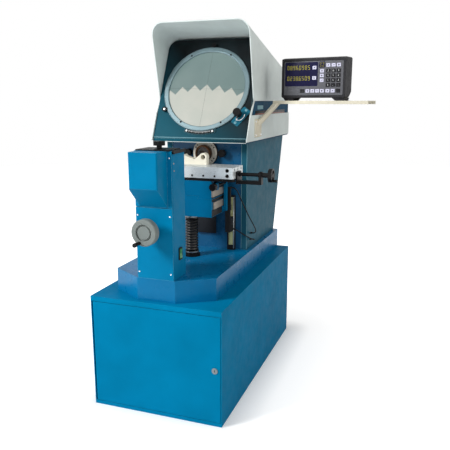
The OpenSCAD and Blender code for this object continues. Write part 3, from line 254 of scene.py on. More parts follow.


# Knee and saddle: the azure paint made darker, as painted shade under the table and the column.
shaded_stage_paint = enamel("shaded_stage_paint", srgb(0, 102, 146), srgb(40, 136, 176), 0.36)
# Its wide, pale edge line is mostly a painted highlight along the column's and lamp house's edges.
azure_paint = enamel("azure_paint", srgb(0, 122, 168), srgb(120, 196, 220), 0.38, rounding=0.0032)
azure_sheet = enamel("azure_sheet", srgb(0, 123, 168), srgb(46, 152, 190), 0.45, rounding=0.002, gloss=0.012)
hammered_azure = enamel("hammered_azure", srgb(0, 112, 162), srgb(90, 176, 210), 0.3, peel=260, depth=0.00016,
                        gloss=0.12)
front_plate_paint = enamel("front_plate_paint", srgb(16, 88, 130), srgb(110, 160, 180), 0.3, rounding=0.002,
                           gloss=0.4)
# Its wide, pale edge line is mostly a painted highlight along the cover's flange edges.
body_paint = enamel("body_paint", srgb(34, 92, 112), srgb(150, 198, 212), 0.45, rounding=0.004)
drive_plate_paint = enamel("drive_plate_paint", srgb(34, 104, 126), srgb(120, 180, 194), 0.4, rounding=0.001)
pale_blue_paint = enamel("pale_blue_paint", srgb(124, 170, 182), srgb(170, 204, 212), 0.4, rounding=0.0006)
band_paint = enamel("band_paint", srgb(8, 66, 94), srgb(70, 120, 140), 0.4, gloss=0.012)
hood_paint = enamel("hood_paint", srgb(226, 236, 235), srgb(242, 247, 244), 0.5, peel=700, depth=0.00012)
cream_paint = enamel("cream_paint", srgb(236, 231, 214), srgb(250, 248, 240), 0.42, rounding=0.0015)
ivory_paint = enamel("ivory_paint", srgb(226, 220, 200), srgb(240, 237, 224), 0.48, rounding=0.0015,
                     depth=0.0001)
wheel_paint = enamel("wheel_paint", srgb(126, 134, 132), srgb(190, 194, 190), 0.4, rounding=0.002, peel=600,
                     depth=0.00012)
black_oxide = moulded("black_oxide", srgb(15, 15, 17), 0.38, pitch=900, depth=0.00003, gloss=0.1)
knob_black = moulded("knob_black", srgb(14, 14, 15), 0.32, pitch=700, depth=0.00004, gloss=0.15)
rough_black = moulded("rough_black", srgb(18, 18, 20), 0.52, pitch=800, depth=0.0001)
charcoal_case = moulded("charcoal_case", srgb(33, 33, 36), 0.55, pitch=1300, depth=0.00014, rounding=0.003)
ground_steel = brushed("ground_steel", srgb(168, 164, 156), 0.36, (1, 30, 30))
way_steel = brushed("way_steel", srgb(150, 142, 132), 0.42, (30, 1, 30))
# Dark steel of the knee's rail: oiled, and darker still as painted shade under the knee.
oiled_and_shaded_steel = brushed("oiled_and_shaded_steel", srgb(44, 46, 50), 0.34, (30, 30, 1))
lock_steel = brushed("lock_steel", srgb(120, 128, 132), 0.4, (40, 1, 40), rounding=0.0008)
silver_plate = brushed("silver_plate", srgb(212, 218, 220), 0.32, (1, 40, 40), rounding=0.0015, metal=0.6)
bright_chrome = brushed("bright_chrome", srgb(222, 224, 228), 0.14, (6, 6, 6))
copper_line = brushed("copper_line", srgb(126, 70, 50), 0.36, (30, 1, 30))
brown_anodised = brushed("brown_anodised", srgb(72, 50, 34), 0.28, (30, 1, 30))
pale_key_plastic = moulded("pale_key_plastic", srgb(214, 214, 236), 0.42, scuff=0.94)
black_key_rubber = moulded("black_key_rubber", srgb(18, 18, 22), 0.5)
bellows_rubber = moulded("bellows_rubber", srgb(15, 15, 16), 0.34, pitch=500, depth=0.0002, gloss=0.35)
cable_rubber = moulded("cable_rubber", srgb(10, 10, 11), 0.45)
lamp_green = moulded("lamp_green", srgb(30, 130, 66), 0.25, depth=0.00002, gloss=0.4)
screen_frost = lens_glass("screen_frost", srgb(205, 214, 208), 0.5, 0.35)
coated_lens = lens_glass("coated_lens", srgb(96, 84, 78), 0.02, 0.9)
mirror_face = brushed("mirror_face", srgb(230, 234, 236), 0.1, (2, 2, 2), depth=0.000002)


def flange_finish():
    """Cream face of the lens flange; its rim and bore, the faces that do not look along the lens axis, are
    black.
    """
    material, tree, shader = new_finish("flange_cream")
    coordinates = tree.nodes.new("ShaderNodeTexCoord")
    parts = tree.nodes.new("ShaderNodeSeparateXYZ")
    tree.links.new(coordinates.outputs["Normal"], parts.inputs["Vector"])
    facing = spread(tree, calc(tree, "ABSOLUTE", parts.outputs["Y"]), 0, 1, 0.5, 0.8)
    cream = tint(tree, spread(tree, grain(tree, 12, 4), 0, 1), srgb(236, 230, 214), srgb(246, 242, 230))
    black = tint(tree, spread(tree, grain(tree, 20, 4), 0, 1), srgb(22, 22, 24), srgb(36, 35, 35))
    tree.links.new(tint(tree, facing, black, cream), shader.inputs["Base Color"])
    mottle(tree, shader, 40, 4, 0.36, 0.48)
    shader.inputs["Specular IOR Level"].default_value = 0.2
    relief(tree, shader, grain(tree, 800, 1.5), 0.00006, rounded_normal(tree, 0.0012))
    return material


def panel_finish():
    """Dark gloss paint of the screen panel, with painted shade of the hood darkening it towards its upper
    corner.
    """
    material, tree, shader = new_finish("panel_paint")
    normal = rounded_normal(tree, 0.003)
    parts = tree.nodes.new("ShaderNodeSeparateXYZ")
    tree.links.new(own_place(tree, shift=(0, 0, -SCREEN_CENTRE[2] * MM)), parts.inputs["Vector"])
    climb = calc(tree, "ADD", parts.outputs["X"], calc(tree, "MULTIPLY", parts.outputs["Z"], 1.2))
    # Painted shade of the hood: darker towards the upper corner, teal towards the lower left.
    painted_hood_shade = tint(tree, spread(tree, climb, 0, 1, -0.36, 0.06), srgb(4, 80, 97), srgb(20, 23, 25))
    clouds = tint(tree, spread(tree, grain(tree, 9, 4), 0, 0.12), painted_hood_shade, srgb(60, 90, 98))
    # Paler edge line: partly wear, partly painted highlight along the lip.
    rubbed_edge_and_highlight = calc(tree, "MULTIPLY", edge_share(tree, normal), 0.75)
    tree.links.new(tint(tree, rubbed_edge_and_highlight, clouds, srgb(140, 184, 192)), shader.inputs["Base Color"])
    mottle(tree, shader, 30, 5, 0.3, 0.42)
    shader.inputs["Specular IOR Level"].default_value = 0.08
    relief(tree, shader, grain(tree, 900, 1.5), 0.00006, normal)
    return material


def ring_finish():
    """Satin plated ring with a line for each degree, drawn by the angle round the screen."""
    material, tree, shader = new_finish("ring_plate")
    normal = rounded_normal(tree, 0.0012)
    place = screen_place(tree)
    sweep = tree.nodes.new("ShaderNodeTexGradient")
    sweep.gradient_type = "RADIAL"
    tree.links.new(place, sweep.inputs["Vector"])
    length = tree.nodes.new("ShaderNodeVectorMath")
    length.operation = "LENGTH"
    flat = tree.nodes.new("ShaderNodeVectorMath")
    flat.operation = "MULTIPLY"
    flat.inputs[1].default_value = (1, 1, 0)
    tree.links.new(place, flat.inputs[0])
    tree.links.new(flat.outputs["Vector"], length.inputs[0])
    degree = calc(tree, "FRACT", calc(tree, "MULTIPLY", sweep.outputs["Fac"], 360))
    five = calc(tree, "FRACT", calc(tree, "MULTIPLY", sweep.outputs["Fac"], 72))
    short_start, long_start = (RING_R - 4.5) * MM, (RING_R - 7.5) * MM
    outer = calc(tree, "GREATER_THAN", length.outputs["Value"], short_start)
    wide = calc(tree, "GREATER_THAN", length.outputs["Value"], long_start)
    short_line = calc(tree, "MULTIPLY", calc(tree, "LESS_THAN", degree, 0.16), outer)
    long_line = calc(tree, "MULTIPLY", calc(tree, "LESS_THAN", five, 0.035), wide)
    lines = calc(tree, "MAXIMUM", short_line, long_line)
    plate = srgb(114, 136, 142)
    tone = tint(tree, spread(tree, grain(tree, 16, 3), 0, 1), shade(plate, 0.88), shade(plate, 1.04))
    tree.links.new(tint(tree, lines, tone, srgb(40, 50, 58)), shader.inputs["Base Color"])
    shader.inputs["Metallic"].default_value = 0.55
    mottle(tree, shader, 70, 4, 0.3, 0.46)
    relief(tree, shader, grain(tree, 1200, 1), 0.00003, normal)
    return material


def shadow_image_finish():
    """The lit screen: the shadow of a threaded workpiece above, the bare field below."""
    material, tree, shader = new_finish("shadow_image")
    parts = tree.nodes.new("ShaderNodeSeparateXYZ")
    tree.links.new(screen_place(tree), parts.inputs["Vector"])
    across, up = parts.outputs["X"], parts.outputs["Y"]
    half_pitch, phase, curve, slope, drop, blur = 0.029, 0.261, -1.04, -0.0235, 0.008, 0.003
    wave = calc(tree, "PINGPONG", calc(tree, "ADD", across, phase), half_pitch)
    bow = calc(tree, "MULTIPLY", calc(tree, "MULTIPLY", across, across), curve)
    droop = calc(tree, "ADD", bow, calc(tree, "MULTIPLY", across, slope))
    edge = calc(tree, "ADD", wave, calc(tree, "SUBTRACT", droop, drop))
    lit = spread(tree, calc(tree, "SUBTRACT", up, edge), 1, 0, -blur, blur)
    glow = spread(tree, grain(tree, 9, 3), 0.0, 1.0)
    rise = spread(tree, up, 0, 1, 0.02, 0.17)
    dark_field = tint(tree, rise, srgb(96, 130, 128), srgb(116, 146, 144))
    bright_field = tint(tree, glow, srgb(208, 214, 202), srgb(220, 220, 208))
    field = tint(tree, lit, dark_field, bright_field)
    tree.links.new(tint(tree, glow, srgb(58, 62, 61), srgb(70, 74, 72)), shader.inputs["Base Color"])
    tree.links.new(field, shader.inputs["Emission Color"])
    shader.inputs["Emission Strength"].default_value = 0.66
    mottle(tree, shader, 80, 3, 0.32, 0.45)
    relief(tree, shader, grain(tree, 2200, 1), 0.00004)
    return material


def display_finish(name, colour, power, roughness, gloss):
    """Glass or segments of the display, which shine a little by themselves."""
    material, tree, shader = new_finish(name)
    tone = tint(tree, spread(tree, grain(tree, 30, 3), 0, 1), shade(colour, 0.85), shade(colour, 1.1))
    tree.links.new(tone, shader.inputs["Base Color"])
    tree.links.new(tone, shader.inputs["Emission Color"])
    shader.inputs["Emission Strength"].default_value = power
    shader.inputs["Specular IOR Level"].default_value = gloss
    mottle(tree, shader, 90, 3, roughness, roughness + 0.08)
    return material


flange_cream = flange_finish()
panel_paint = panel_finish()
ring_plate = ring_finish()
shadow_image = shadow_image_finish()
window_glass = display_finish("window_glass", srgb(30, 30, 62), 0.05, 0.3, 0.08)
segment_glow = display_finish("segment_glow", srgb(164, 156, 58), 0.6, 0.3, 0.1)
face_grey = moulded("face_grey", srgb(104, 105, 110), 0.46, scuff=1.06, gloss=0.1)
scale_tape = enamel("scale_tape", srgb(214, 216, 160), srgb(235, 236, 200), 0.35, rounding=0.0005)
mark_black = moulded("mark_black", srgb(24, 26, 30), 0.5)
mark_white = moulded("mark_white", srgb(232, 236, 236), 0.5, scuff=0.95)
hair_line = moulded("hair_line", srgb(46, 54, 58), 0.5)

NODE_FINISH = {
    hammered_azure: ["base_casting"],
    azure_paint: ["lamp_column", "column_front_cover", "lamp_house_cover"],
    shaded_stage_paint: ["knee", "saddle"],
    azure_sheet: ["cabinet_shell", "cabinet_door"],
    front_plate_paint: ["body_frame"],
    body_paint: ["body_cover"],
    drive_plate_paint: ["drive_plate"],
    panel_paint: ["screen_panel"],
    band_paint: ["head_casting"],
    hood_paint: ["hood", "head_lower_cover"],
    flange_cream: ["lens_flange"],
    cream_paint: ["vee_rest"],
    ivory_paint: ["readout_arm"],
    wheel_paint: ["lift_handwheel"],
    black_oxide: ["lamp_house_lid", "filter_lever", "collimator_barrel", "table_base", "screw_bearing"],
    knob_black: ["lid_knob", "lens_knob_left", "lens_knob_right", "screen_drive_knob", "focus_knob",
                 "x_handwheel", "x_grip", "lift_grip", "guide_roller_top", "guide_roller_left"],
    rough_black: ["switch_bezel", "y_reader_head", "scale_housing"],
    charcoal_case: ["readout_housing"],
    ground_steel: ["cross_shaft", "lift_screw", "drive_chain", "mirror_cradle", "halogen_lamp"],
    oiled_and_shaded_steel: ["knee_rail"],
    way_steel: ["knee_way_bars", "saddle_way_bars"],
    silver_plate: ["table"],
    bright_chrome: ["screen_clamp_lever"],
    lock_steel: ["door_lock"],
    brown_anodised: ["lens_barrel"],
    pale_key_plastic: ["readout_keys_pale"],
    black_key_rubber: ["readout_keys_black"],
    bellows_rubber: ["lift_bellows"],
    cable_rubber: ["signal_cable_x", "signal_cable_y"],
    lamp_green: ["power_rocker"],
    screen_frost: ["screen_glass"],
    coated_lens: ["optics_glass"],
    mirror_face: ["rear_mirror"],
    ring_plate: ["screen_ring"],
}
for material, names in NODE_FINISH.items():
    for name in names:
        cad[name].data.materials.clear()
        cad[name].data.materials.append(material)


# Mesh helpers
def lathe(points, segments=48):
    """Turns a profile of [radius, height] points in millimetres about Z."""
    bm = bmesh.new()
    verts = [bm.verts.new((r * MM, 0, z * MM)) for r, z in points]
    edges = [bm.edges.new(pair) for pair in zip(verts, verts[1:])]
    bmesh.ops.spin(bm, geom=verts + edges, cent=(0, 0, 0), axis=(0, 0, 1), angle=math.tau, steps=segments,
                   use_merge=True)
    bmesh.ops.remove_doubles(bm, verts=bm.verts, dist=1e-6)
    bmesh.ops.recalc_face_normals(bm, faces=bm.faces)
    return bm


def block(bm, centre, size, bevel=0.0, segments=2):
    """Adds a box with rounded edges, in millimetres."""
    made = bmesh.ops.create_cube(bm, size=1.0)["verts"]
    bmesh.ops.scale(bm, vec=Vector(size) * MM, verts=made)
    bmesh.ops.translate(bm, vec=Vector(centre) * MM, verts=made)
    if bevel:
        edges = list({edge for vert in made for edge in vert.link_edges})
        bmesh.ops.bevel(bm, geom=edges, offset=bevel * MM, affect="EDGES", segments=segments, profile=0.5,
                        material=-1)


def frame_at(origin, z_axis, x_axis):
    """A frame at a place in millimetres, with its Z and about its X along the given ways."""
    z = Vector(z_axis).normalized()
    x = Vector(x_axis)
    x = (x - z * x.dot(z)).normalized()
    y = z.cross(x)
    turn = Matrix((x, y, z)).transposed().to_4x4()
    return Matrix.Translation(Vector(origin) * MM) @ turn


def finished(name, bm, material, body, place=None, smooth=35):
    """Makes the mesh an object at the origin, with its place in its mesh, riding on a body."""
    if place is not None:
        bmesh.ops.transform(bm, matrix=place, verts=bm.verts)
    mesh = bpy.data.meshes.new(name)
    bm.to_mesh(mesh)
    bm.free()
    mesh.polygons.foreach_set("use_smooth", [True] * len(mesh.polygons))
    mesh.set_sharp_from_angle(angle=math.radians(smooth))
    mesh.materials.append(material)
    piece = bpy.data.objects.new(name, mesh)
    bpy.context.scene.collection.objects.link(piece)
    if body:
        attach(piece, body)
    return piece


def curve_mesh(line):
    """The mesh of a curve or a text."""
    carrier = bpy.data.objects.new(line.name, line)
    bpy.context.scene.collection.objects.link(carrier)
    bpy.context.view_layer.update()
    mesh = bpy.data.meshes.new_from_object(carrier.evaluated_get(bpy.context.evaluated_depsgraph_get()))
    bpy.data.objects.remove(carrier)
    return mesh


SCREEN_OUT = (0, -math.cos(SCREEN_TILT), math.sin(SCREEN_TILT))
SCREEN_FRAME = frame_at(SCREEN_CENTRE, SCREEN_OUT, (1, 0, 0))
READOUT_FRAME = Matrix.Translation(Vector(READOUT_CORNER) * MM) @ Matrix.Rotation(READOUT_TURN, 4, "Z")
BELLOWS_FRAME = Matrix.Translation((BELLOWS_AXIS[0] * MM, BELLOWS_AXIS[1] * MM, 0))


def on_screen(x, y, out):
    """A place in the part's millimetres, from a place on the screen's plane."""
    return SCREEN_FRAME @ (Vector((x, y, out)) * MM) / MM


def at_rim(angle, radius, out):
    """The same, from an angle and a radius round the screen's middle."""
    turned = math.radians(angle)
    return on_screen(radius * math.cos(turned), radius * math.sin(turned), out)


# Fasteners and small trim of the stage
def screw_head(kind, radius, height):
    """A cap screw's head with its socket, or a domed pan head with its recess."""
    if kind == "socket":
        return lathe([(0, 0.5 * height), (0.45 * radius, 0.5 * height), (0.52 * radius, height),
                      (0.88 * radius, height), (radius, height - 0.12 * radius), (radius, 0), (0, 0)], 30)
    return lathe([(0, 0.45 * height), (0.3 * radius, 0.45 * height), (0.36 * radius, 0.96 * height),
                  (0.6 * radius, 0.9 * height), (0.85 * radius, 0.62 * height), (radius, 0.18 * height),
                  (radius, 0), (0, 0)], 28)


def screws(name, kind, radius, height, places, out, material, body):
    """One piece for a group of screws of one kind that sit on one face."""
    whole = bmesh.new()
    for place in places:
        head = screw_head(kind, radius, height)
        bmesh.ops.transform(head, matrix=frame_at(place, out, (0.3, 0.4, 0.87)), verts=head.verts)
        held = bpy.data.meshes.new("head")
        head.to_mesh(held)
        head.free()
        whole.from_mesh(held)
        bpy.data.meshes.remove(held)
    return finished(name, whole, material, body)


screws("column_cover_screws", "pan", 3.8, 2.4,
       [(x, COLUMN_FRONT, z) for x in (-67.5, 64.5) for z in (576, 796)], (0, -1, 0), bright_chrome, "root")
screws("lamp_flange_screws", "pan", 3.4, 2.0, [(x, COLUMN_FRONT, 1011) for x in (-66, 66)], (0, -1, 0),
       bright_chrome, "root")
screws("column_side_screws", "pan", 3.4, 1.8, [(COLUMN_HALF, -470, 990), (COLUMN_HALF, -468, 963)], (1, 0, 0),
       way_steel, "root")
screws("table_socket_screws", "socket", 6.6, 8.0,
       [(x, TABLE_FRONT + 10, z) for x in (-178, 178) for z in (913, 935)], (0, -1, 0), black_oxide, "table")
screws("table_front_plugs", "socket", 4.4, 1.0,
       [(49.5 * (i - 2.5), TABLE_FRONT, 911) for i in range(6)], (0, -1, 0), black_oxide, "table")
screws("arm_plate_screws", "pan", 4.0, 2.6,
       [(ARM_PLATE[0], ARM_PLATE[1] + across, ARM_PLATE[2] + up) for across in (-38, 38) for up in (-29, 29)],
       (1, 0, 0), bright_chrome, "root")


def feed_sleeve():
    """Dark tube round the table's lead screw, from the table's end to the bracket."""
    bore, slim, wide, long = 6.4, 7.4, 9.5, 85
    bm = lathe([(bore, 0), (wide, 0), (wide, 5), (slim, 6), (slim, long - 6), (wide, long - 5), (wide, long),
                (bore, long), (bore, 0)], 40)
    return finished("feed_screw_sleeve", bm, black_oxide, "table", frame_at(FEED_START, (1, 0, 0), (0, 0, 1)))


feed_sleeve()
screws("lens_flange_screws", "socket", 3.2, 1.6,
       [(FLANGE_SCREW_R * math.cos(math.radians(angle)), LENS_FACE,
         LENS_AXIS_Z + FLANGE_SCREW_R * math.sin(math.radians(angle))) for angle in range(30, 390, 60)],
       (0, -1, 0), black_oxide, "root")


def side_shade_sheets():
    """Black sheets on the right of the knee and the saddle, between their way bars: painted shade under the
    table.
    """
    thick = 0.6
    plates = {"knee": [(-174, -53, 738, 767.5), (-174, -10, 800.5, 811.5)],
              "saddle": [(-174, -10, 815.5, 821), (-158, -10, 854, 868)]}
    for body, places in plates.items():
        bm = bmesh.new()
        for front, back, low, high in places:
            middle = (KNEE_SIDE + thick / 2, (front + back) / 2, (low + high) / 2)
            block(bm, middle, (thick, back - front, high - low), 0.2)
        finished(body + "_side_shade_sheets", bm, rough_black, body)


side_shade_sheets()


# Bellows and cables
def bellows():
    """Folded sleeve of the lifting screw, between its bearing and the knee."""
    collar, folds, valley, peak, bore = 20.0, 12, 24.4, 28.8, 15.0
    top = BELLOWS_HIGH - collar
    pitch = (top - BELLOWS_LOW - 1) / folds
    profile = [(bore, BELLOWS_LOW + 0.4), (valley, BELLOWS_LOW + 0.4)]
    for i in range(folds):
        low = BELLOWS_LOW + 1 + pitch * i
        profile += [(valley + 0.5, low + 0.1 * pitch), (peak - 0.9, low + 0.4 * pitch),
                    (peak, low + 0.5 * pitch), (peak - 0.9, low + 0.6 * pitch),
                    (valley + 0.5, low + 0.9 * pitch), (valley, low + pitch)]
    profile += [(peak, top), (peak + 1, top + 1), (peak + 1, BELLOWS_HIGH - 1.2), (peak, BELLOWS_HIGH - 0.2),
                (bore, BELLOWS_HIGH - 0.2), (bore, BELLOWS_LOW + 0.4)]
    bm = lathe(profile, 64)
    piece = finished("bellows_sleeve", bm, bellows_rubber, None, BELLOWS_FRAME, 50)
    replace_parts(piece, "lift_bellows")
    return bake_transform(piece)


bellows()


def bellows_band(name, low, radius, body):
    """A bright clamp band round an end of the bellows."""
    bm = lathe([(radius, 0), (radius + 1.4, 0.3), (radius + 1.4, 5.7), (radius, 6), (radius, 0)], 56)
    return finished(name, bm, lock_steel, body, BELLOWS_FRAME @ Matrix.Translation((0, 0, low * MM)))


bellows_band("bellows_band_low", 567.5, 28.8, "root")
bellows_band("bellows_band_high", 724.0, 29.8, "knee")

READER_X_EXIT = (136.0, -15.0, 842.0)
READER_Y_EXIT = (136.0, 5.0, 652.0)
CABLE_X_BENDS = [(0, 0, 0), (8, 0, 0), (15.5, 0.3, -1.5), (22, 1.5, -6), (27, 3.5, -12.5), (31, 6, -21),
                 (36, 9.5, -34), (41.5, 13.5, -49), (47.5, 18.5, -66), (54, 24.5, -84), (60.5, 31.5, -103),
                 (67, 39.5, -122), (73.5, 48.5, -141), (79.5, 58, -158.5), (84.5, 67.5, -174), (88, 77, -188),
                 (89.5, 85.5, -199.5), (88.5, 92, -208.5), (84.5, 96.5, -215), (78.5, 99, -218.8),
                 (71, 100, -220), (62, 100, -220)]
CABLE_Y_BENDS = [(0, 0, 0), (8, 0, 0), (15, 0.8, -1.2), (21.5, 2.5, -4.5), (28, 5.5, -9.5), (35, 10, -15.5),
                 (42.5, 16, -22), (50.5, 23, -29), (58.5, 30.5, -36), (66.5, 38, -42.5), (74, 45.5, -48.5),
                 (80.5, 53, -53), (84.5, 60, -55.8), (84.5, 66.5, -56.8), (80.5, 71, -57), (75, 73, -57),
                 (69, 73, -57), (62, 73, -57)]
CABLE_R = 2.5


def smooth_route(start, bends, parts=6):
    """The cable's centreline in metres: one smooth curve through its bends."""
    points = [Vector(start) + Vector(bend) for bend in bends]
    route = []
    for i in range(len(points) - 1):
        before = points[max(i - 1, 0)]
        first, second = points[i], points[i + 1]
        after = points[min(i + 2, len(points) - 1)]
        for k in range(parts):
            t = k / parts
            route.append(0.5 * (2 * first + (second - before) * t
                                + (2 * before - 5 * first + 4 * second - after) * t ** 2
                                + (3 * first - before - 3 * second + after) * t ** 3))
    route.append(points[-1])
    return [point * MM for point in route]


def cable(name, start, bends, node):
    """A limp signal cable from the reader head to a gland on the body's side."""
    route = smooth_route(start, bends)
    line = bpy.data.curves.new(name + "_line", "CURVE")
    line.dimensions = "3D"
    spline = line.splines.new("POLY")
    spline.points.add(len(route) - 1)
    for point, place in zip(spline.points, route):
        point.co = (*place, 1)
    line.bevel_depth = CABLE_R * MM
    line.bevel_resolution = 4
    line.use_fill_caps = True
    mesh = curve_mesh(line)
    bm = bmesh.new()
    bm.from_mesh(mesh)
    bpy.data.meshes.remove(mesh)
    bmesh.ops.remove_doubles(bm, verts=bm.verts, dist=1e-6)
    piece = finished(name, bm, cable_rubber, None)
    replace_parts(piece, node)
    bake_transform(piece)
    return piece


cable("x_reader_cable", READER_X_EXIT, CABLE_X_BENDS, "signal_cable_x")
cable("y_reader_cable", READER_Y_EXIT, CABLE_Y_BENDS, "signal_cable_y")


def cable_boot(name, place, out, body):
    """A ribbed boot round the end of a cable."""
    profile = [(2.6, 0), (5.6, 0), (5.6, 1.6), (4.8, 2.2), (4.8, 3.0), (4.3, 3.4), (4.3, 4.4), (3.8, 4.8),
               (3.8, 5.8), (3.3, 6.2), (3.2, 7.4), (2.6, 7.6), (2.6, 0)]
    return finished(name, lathe(profile, 24), cable_rubber, body, frame_at(place, out, (0, 0, 1)))


cable_boot("x_cable_boot_reader", READER_X_EXIT, (1, 0, 0), "knee")
cable_boot("y_cable_boot_reader", READER_Y_EXIT, (1, 0, 0), "knee")
cable_boot("x_cable_boot_body", (198, 85, 622), (1, 0, 0), "root")
cable_boot("y_cable_boot_body", (198, 78, 595), (1, 0, 0), "root")


# Screen
def screen_picture():
    """The thin sheet that carries the projected image."""
    thick, in_front = 0.3, 0.6
    bm = bmesh.new()
    bmesh.ops.create_circle(bm, cap_ends=True, radius=(SCREEN_R - 0.6) * MM, segments=128)
    bmesh.ops.inset_region(bm, faces=bm.faces[:], thickness=0.02)
    made = bmesh.ops.extrude_face_region(bm, geom=bm.faces[:])["geom"]
    lifted = [part for part in made if isinstance(part, bmesh.types.BMVert)]
    bmesh.ops.translate(bm, vec=(0, 0, thick * MM), verts=lifted)
    bmesh.ops.recalc_face_normals(bm, faces=bm.faces)
    place = SCREEN_FRAME @ Matrix.Translation((0, 0, in_front * MM))
    return finished("screen_picture", bm, shadow_image, "root", place)


def screen_hairs():
    """The crossed hairlines of the screen, which turn with it."""
    bm = bmesh.new()
    reach, wide, thick, in_front = 2 * SCREEN_R - 4, 0.5, 0.12, 1.15
    block(bm, (0, 0, 0), (reach, wide, thick))
    block(bm, (0, 0, 0), (wide, reach, thick))
    turn = Matrix.Rotation(math.radians(-1.2), 4, "Z")
    return finished("screen_hairlines", bm, hair_line, "screen",
                    SCREEN_FRAME @ Matrix.Translation((0, 0, in_front * MM)) @ turn)


screen_picture()
screen_hairs()
screws("ring_screws", "socket", 4.4, 1.0,
       [on_screen(x, y, RING_FRONT) for x in (-93, 93) for y in (-158, 158)], SCREEN_OUT, black_oxide,
       "screen")


def turned_about_screen(bm, start, degrees):
    """Swings the vertices made since start round the screen's middle."""
    turn = Matrix.Rotation(math.radians(degrees), 4, "Z")
    bmesh.ops.transform(bm, matrix=turn, verts=bm.verts[:][start:])


def vernier():
    """The arc plate under the ring, with its marks."""
    plate = bmesh.new()
    inner, outer, half_sweep = RING_R + 2.5, RING_R + 14.5, 19.0
    back, front = 6.02, 6.8
    corners = [(inner, back), (outer, back), (outer, front), (inner, front)]
    verts = [plate.verts.new((r * MM, 0, z * MM)) for r, z in corners]
    face = plate.faces.new(verts)
    turn = Matrix.Rotation(math.radians(-90 - half_sweep), 3, "Z")
    bmesh.ops.rotate(plate, cent=(0, 0, 0), matrix=turn, verts=plate.verts)
    bmesh.ops.spin(plate, geom=[face], cent=(0, 0, 0), axis=(0, 0, 1), angle=math.radians(2 * half_sweep),
                   steps=36)
    bmesh.ops.holes_fill(plate, edges=[e for e in plate.edges if e.is_boundary])
    bmesh.ops.recalc_face_normals(plate, faces=plate.faces)
    finished("vernier_plate", plate, black_oxide, "root", SCREEN_FRAME)
    marks = bmesh.new()
    for i in range(-12, 13):
        start = len(marks.verts)
        tall = 7.5 if i % 4 == 0 else 5.0
        block(marks, (inner + 0.8 + tall / 2, 0, front + 0.05), (tall, 1.5, 0.2))
        turned_about_screen(marks, start, -90 + i * 1.15)
    for side in (-1, 1):
        start = len(marks.verts)
        block(marks, (inner + 6, 0, front + 0.3), (9, 8, 0.9), 0.3)
        turned_about_screen(marks, start, -90 + side * 16.8)
    finished("vernier_marks", marks, mark_white, "root", SCREEN_FRAME)


def panel_lip():
    """Folded lip under the panel's lower edge, with a pale strip above it that is a painted highlight of the
    panel's edge, and a pale edge below.
    """
    wide, middle = 430, -47.2
    lip, edge, edge_highlight_strip = bmesh.new(), bmesh.new(), bmesh.new()
    block(lip, (0, middle, 1044.5), (wide, 3.6, 13.2), 0.6)
    block(edge, (0, middle, 1036.6), (wide, 4.2, 2.6), 0.6)
    block(edge_highlight_strip, (0, -228, 0.2), (wide, 2.2, 1.0), 0.3)
    finished("panel_lip", lip, panel_paint, "root")
    finished("panel_lip_edge", edge, hood_paint, "root")
    finished("panel_edge_highlight", edge_highlight_strip, pale_blue_paint, "root", SCREEN_FRAME)


vernier()
panel_lip()
screws("drive_plate_screws", "pan", 6.0, 2.0,
       [at_rim(DRIVE_ANGLE + side * 9.08, 221.8, 3.0) for side in (-1, 1)], SCREEN_OUT, pale_blue_paint,
       "root")
screws("roller_cap_top", "pan", 5.0, 1.6, [at_rim(88, *ROLLER_CAP)], SCREEN_OUT, black_oxide,
       "guide_roller_top")
screws("roller_cap_left", "pan", 5.4, 1.8, [at_rim(209, *ROLLER_CAP)], SCREEN_OUT, bright_chrome,
       "guide_roller_left")


# Readout
SEGMENTS = {"a": (0, 1, 0), "b": (0.5, 0.5, 1), "c": (0.5, -0.5, 1), "d": (0, -1, 0), "e": (-0.5, -0.5, 1),
            "f": (-0.5, 0.5, 1), "g": (0, 0, 0)}
DIGITS = {"0": "abcdef", "1": "bc", "2": "abged", "3": "abgcd", "4": "fgbc", "5": "afgcd", "6": "afgedc",
          "7": "abc", "8": "abcdefg", "9": "abcfgd"}


def display_row(name, text, left, middle, step, height):
    """Seven-segment figures standing on the display window."""
    bm = bmesh.new()
    wide, thick = 0.5 * step, 0.1 * height
    x = left + step / 2
    for sign in text:
        if sign == ".":
            block(bm, (x - 0.5 * step, 0.5, middle - 0.5 * height), (thick, 0.5, thick), 0.15)
            continue
        for key in DIGITS[sign]:
            across, up, upright = SEGMENTS[key]
            size = (thick, 0.5, 0.42 * height) if upright else (0.8 * wide, 0.5, thick)
            block(bm, (x + across * wide, 0.5, middle + up * 0.5 * height), size, 0.2, 1)
        x += step
    return finished(name, bm, segment_glow, "root", READOUT_FRAME)


def rounded_plate(name, low, high, front, thick, material, corner=4.0, bevel=0.6):
    """A plate with round corners that stands on the readout's face."""
    bm = bmesh.new()
    block(bm, ((low[0] + high[0]) / 2, front + thick / 2, (low[1] + high[1]) / 2),
          (high[0] - low[0], thick, high[1] - low[1]))
    upright = [e for e in bm.edges if abs((e.verts[0].co - e.verts[1].co).y) > 0.5 * thick * MM]
    bmesh.ops.bevel(bm, geom=upright, offset=corner * MM, affect="EDGES", segments=5, profile=0.5,
                    material=-1)
    rim = [e for e in bm.edges if all(v.co.y < (front + 0.1 * thick) * MM for v in e.verts)]
    bmesh.ops.bevel(bm, geom=rim, offset=bevel * MM, affect="EDGES", segments=2, profile=0.5, material=-1)
    return finished(name, bm, material, "root", READOUT_FRAME)


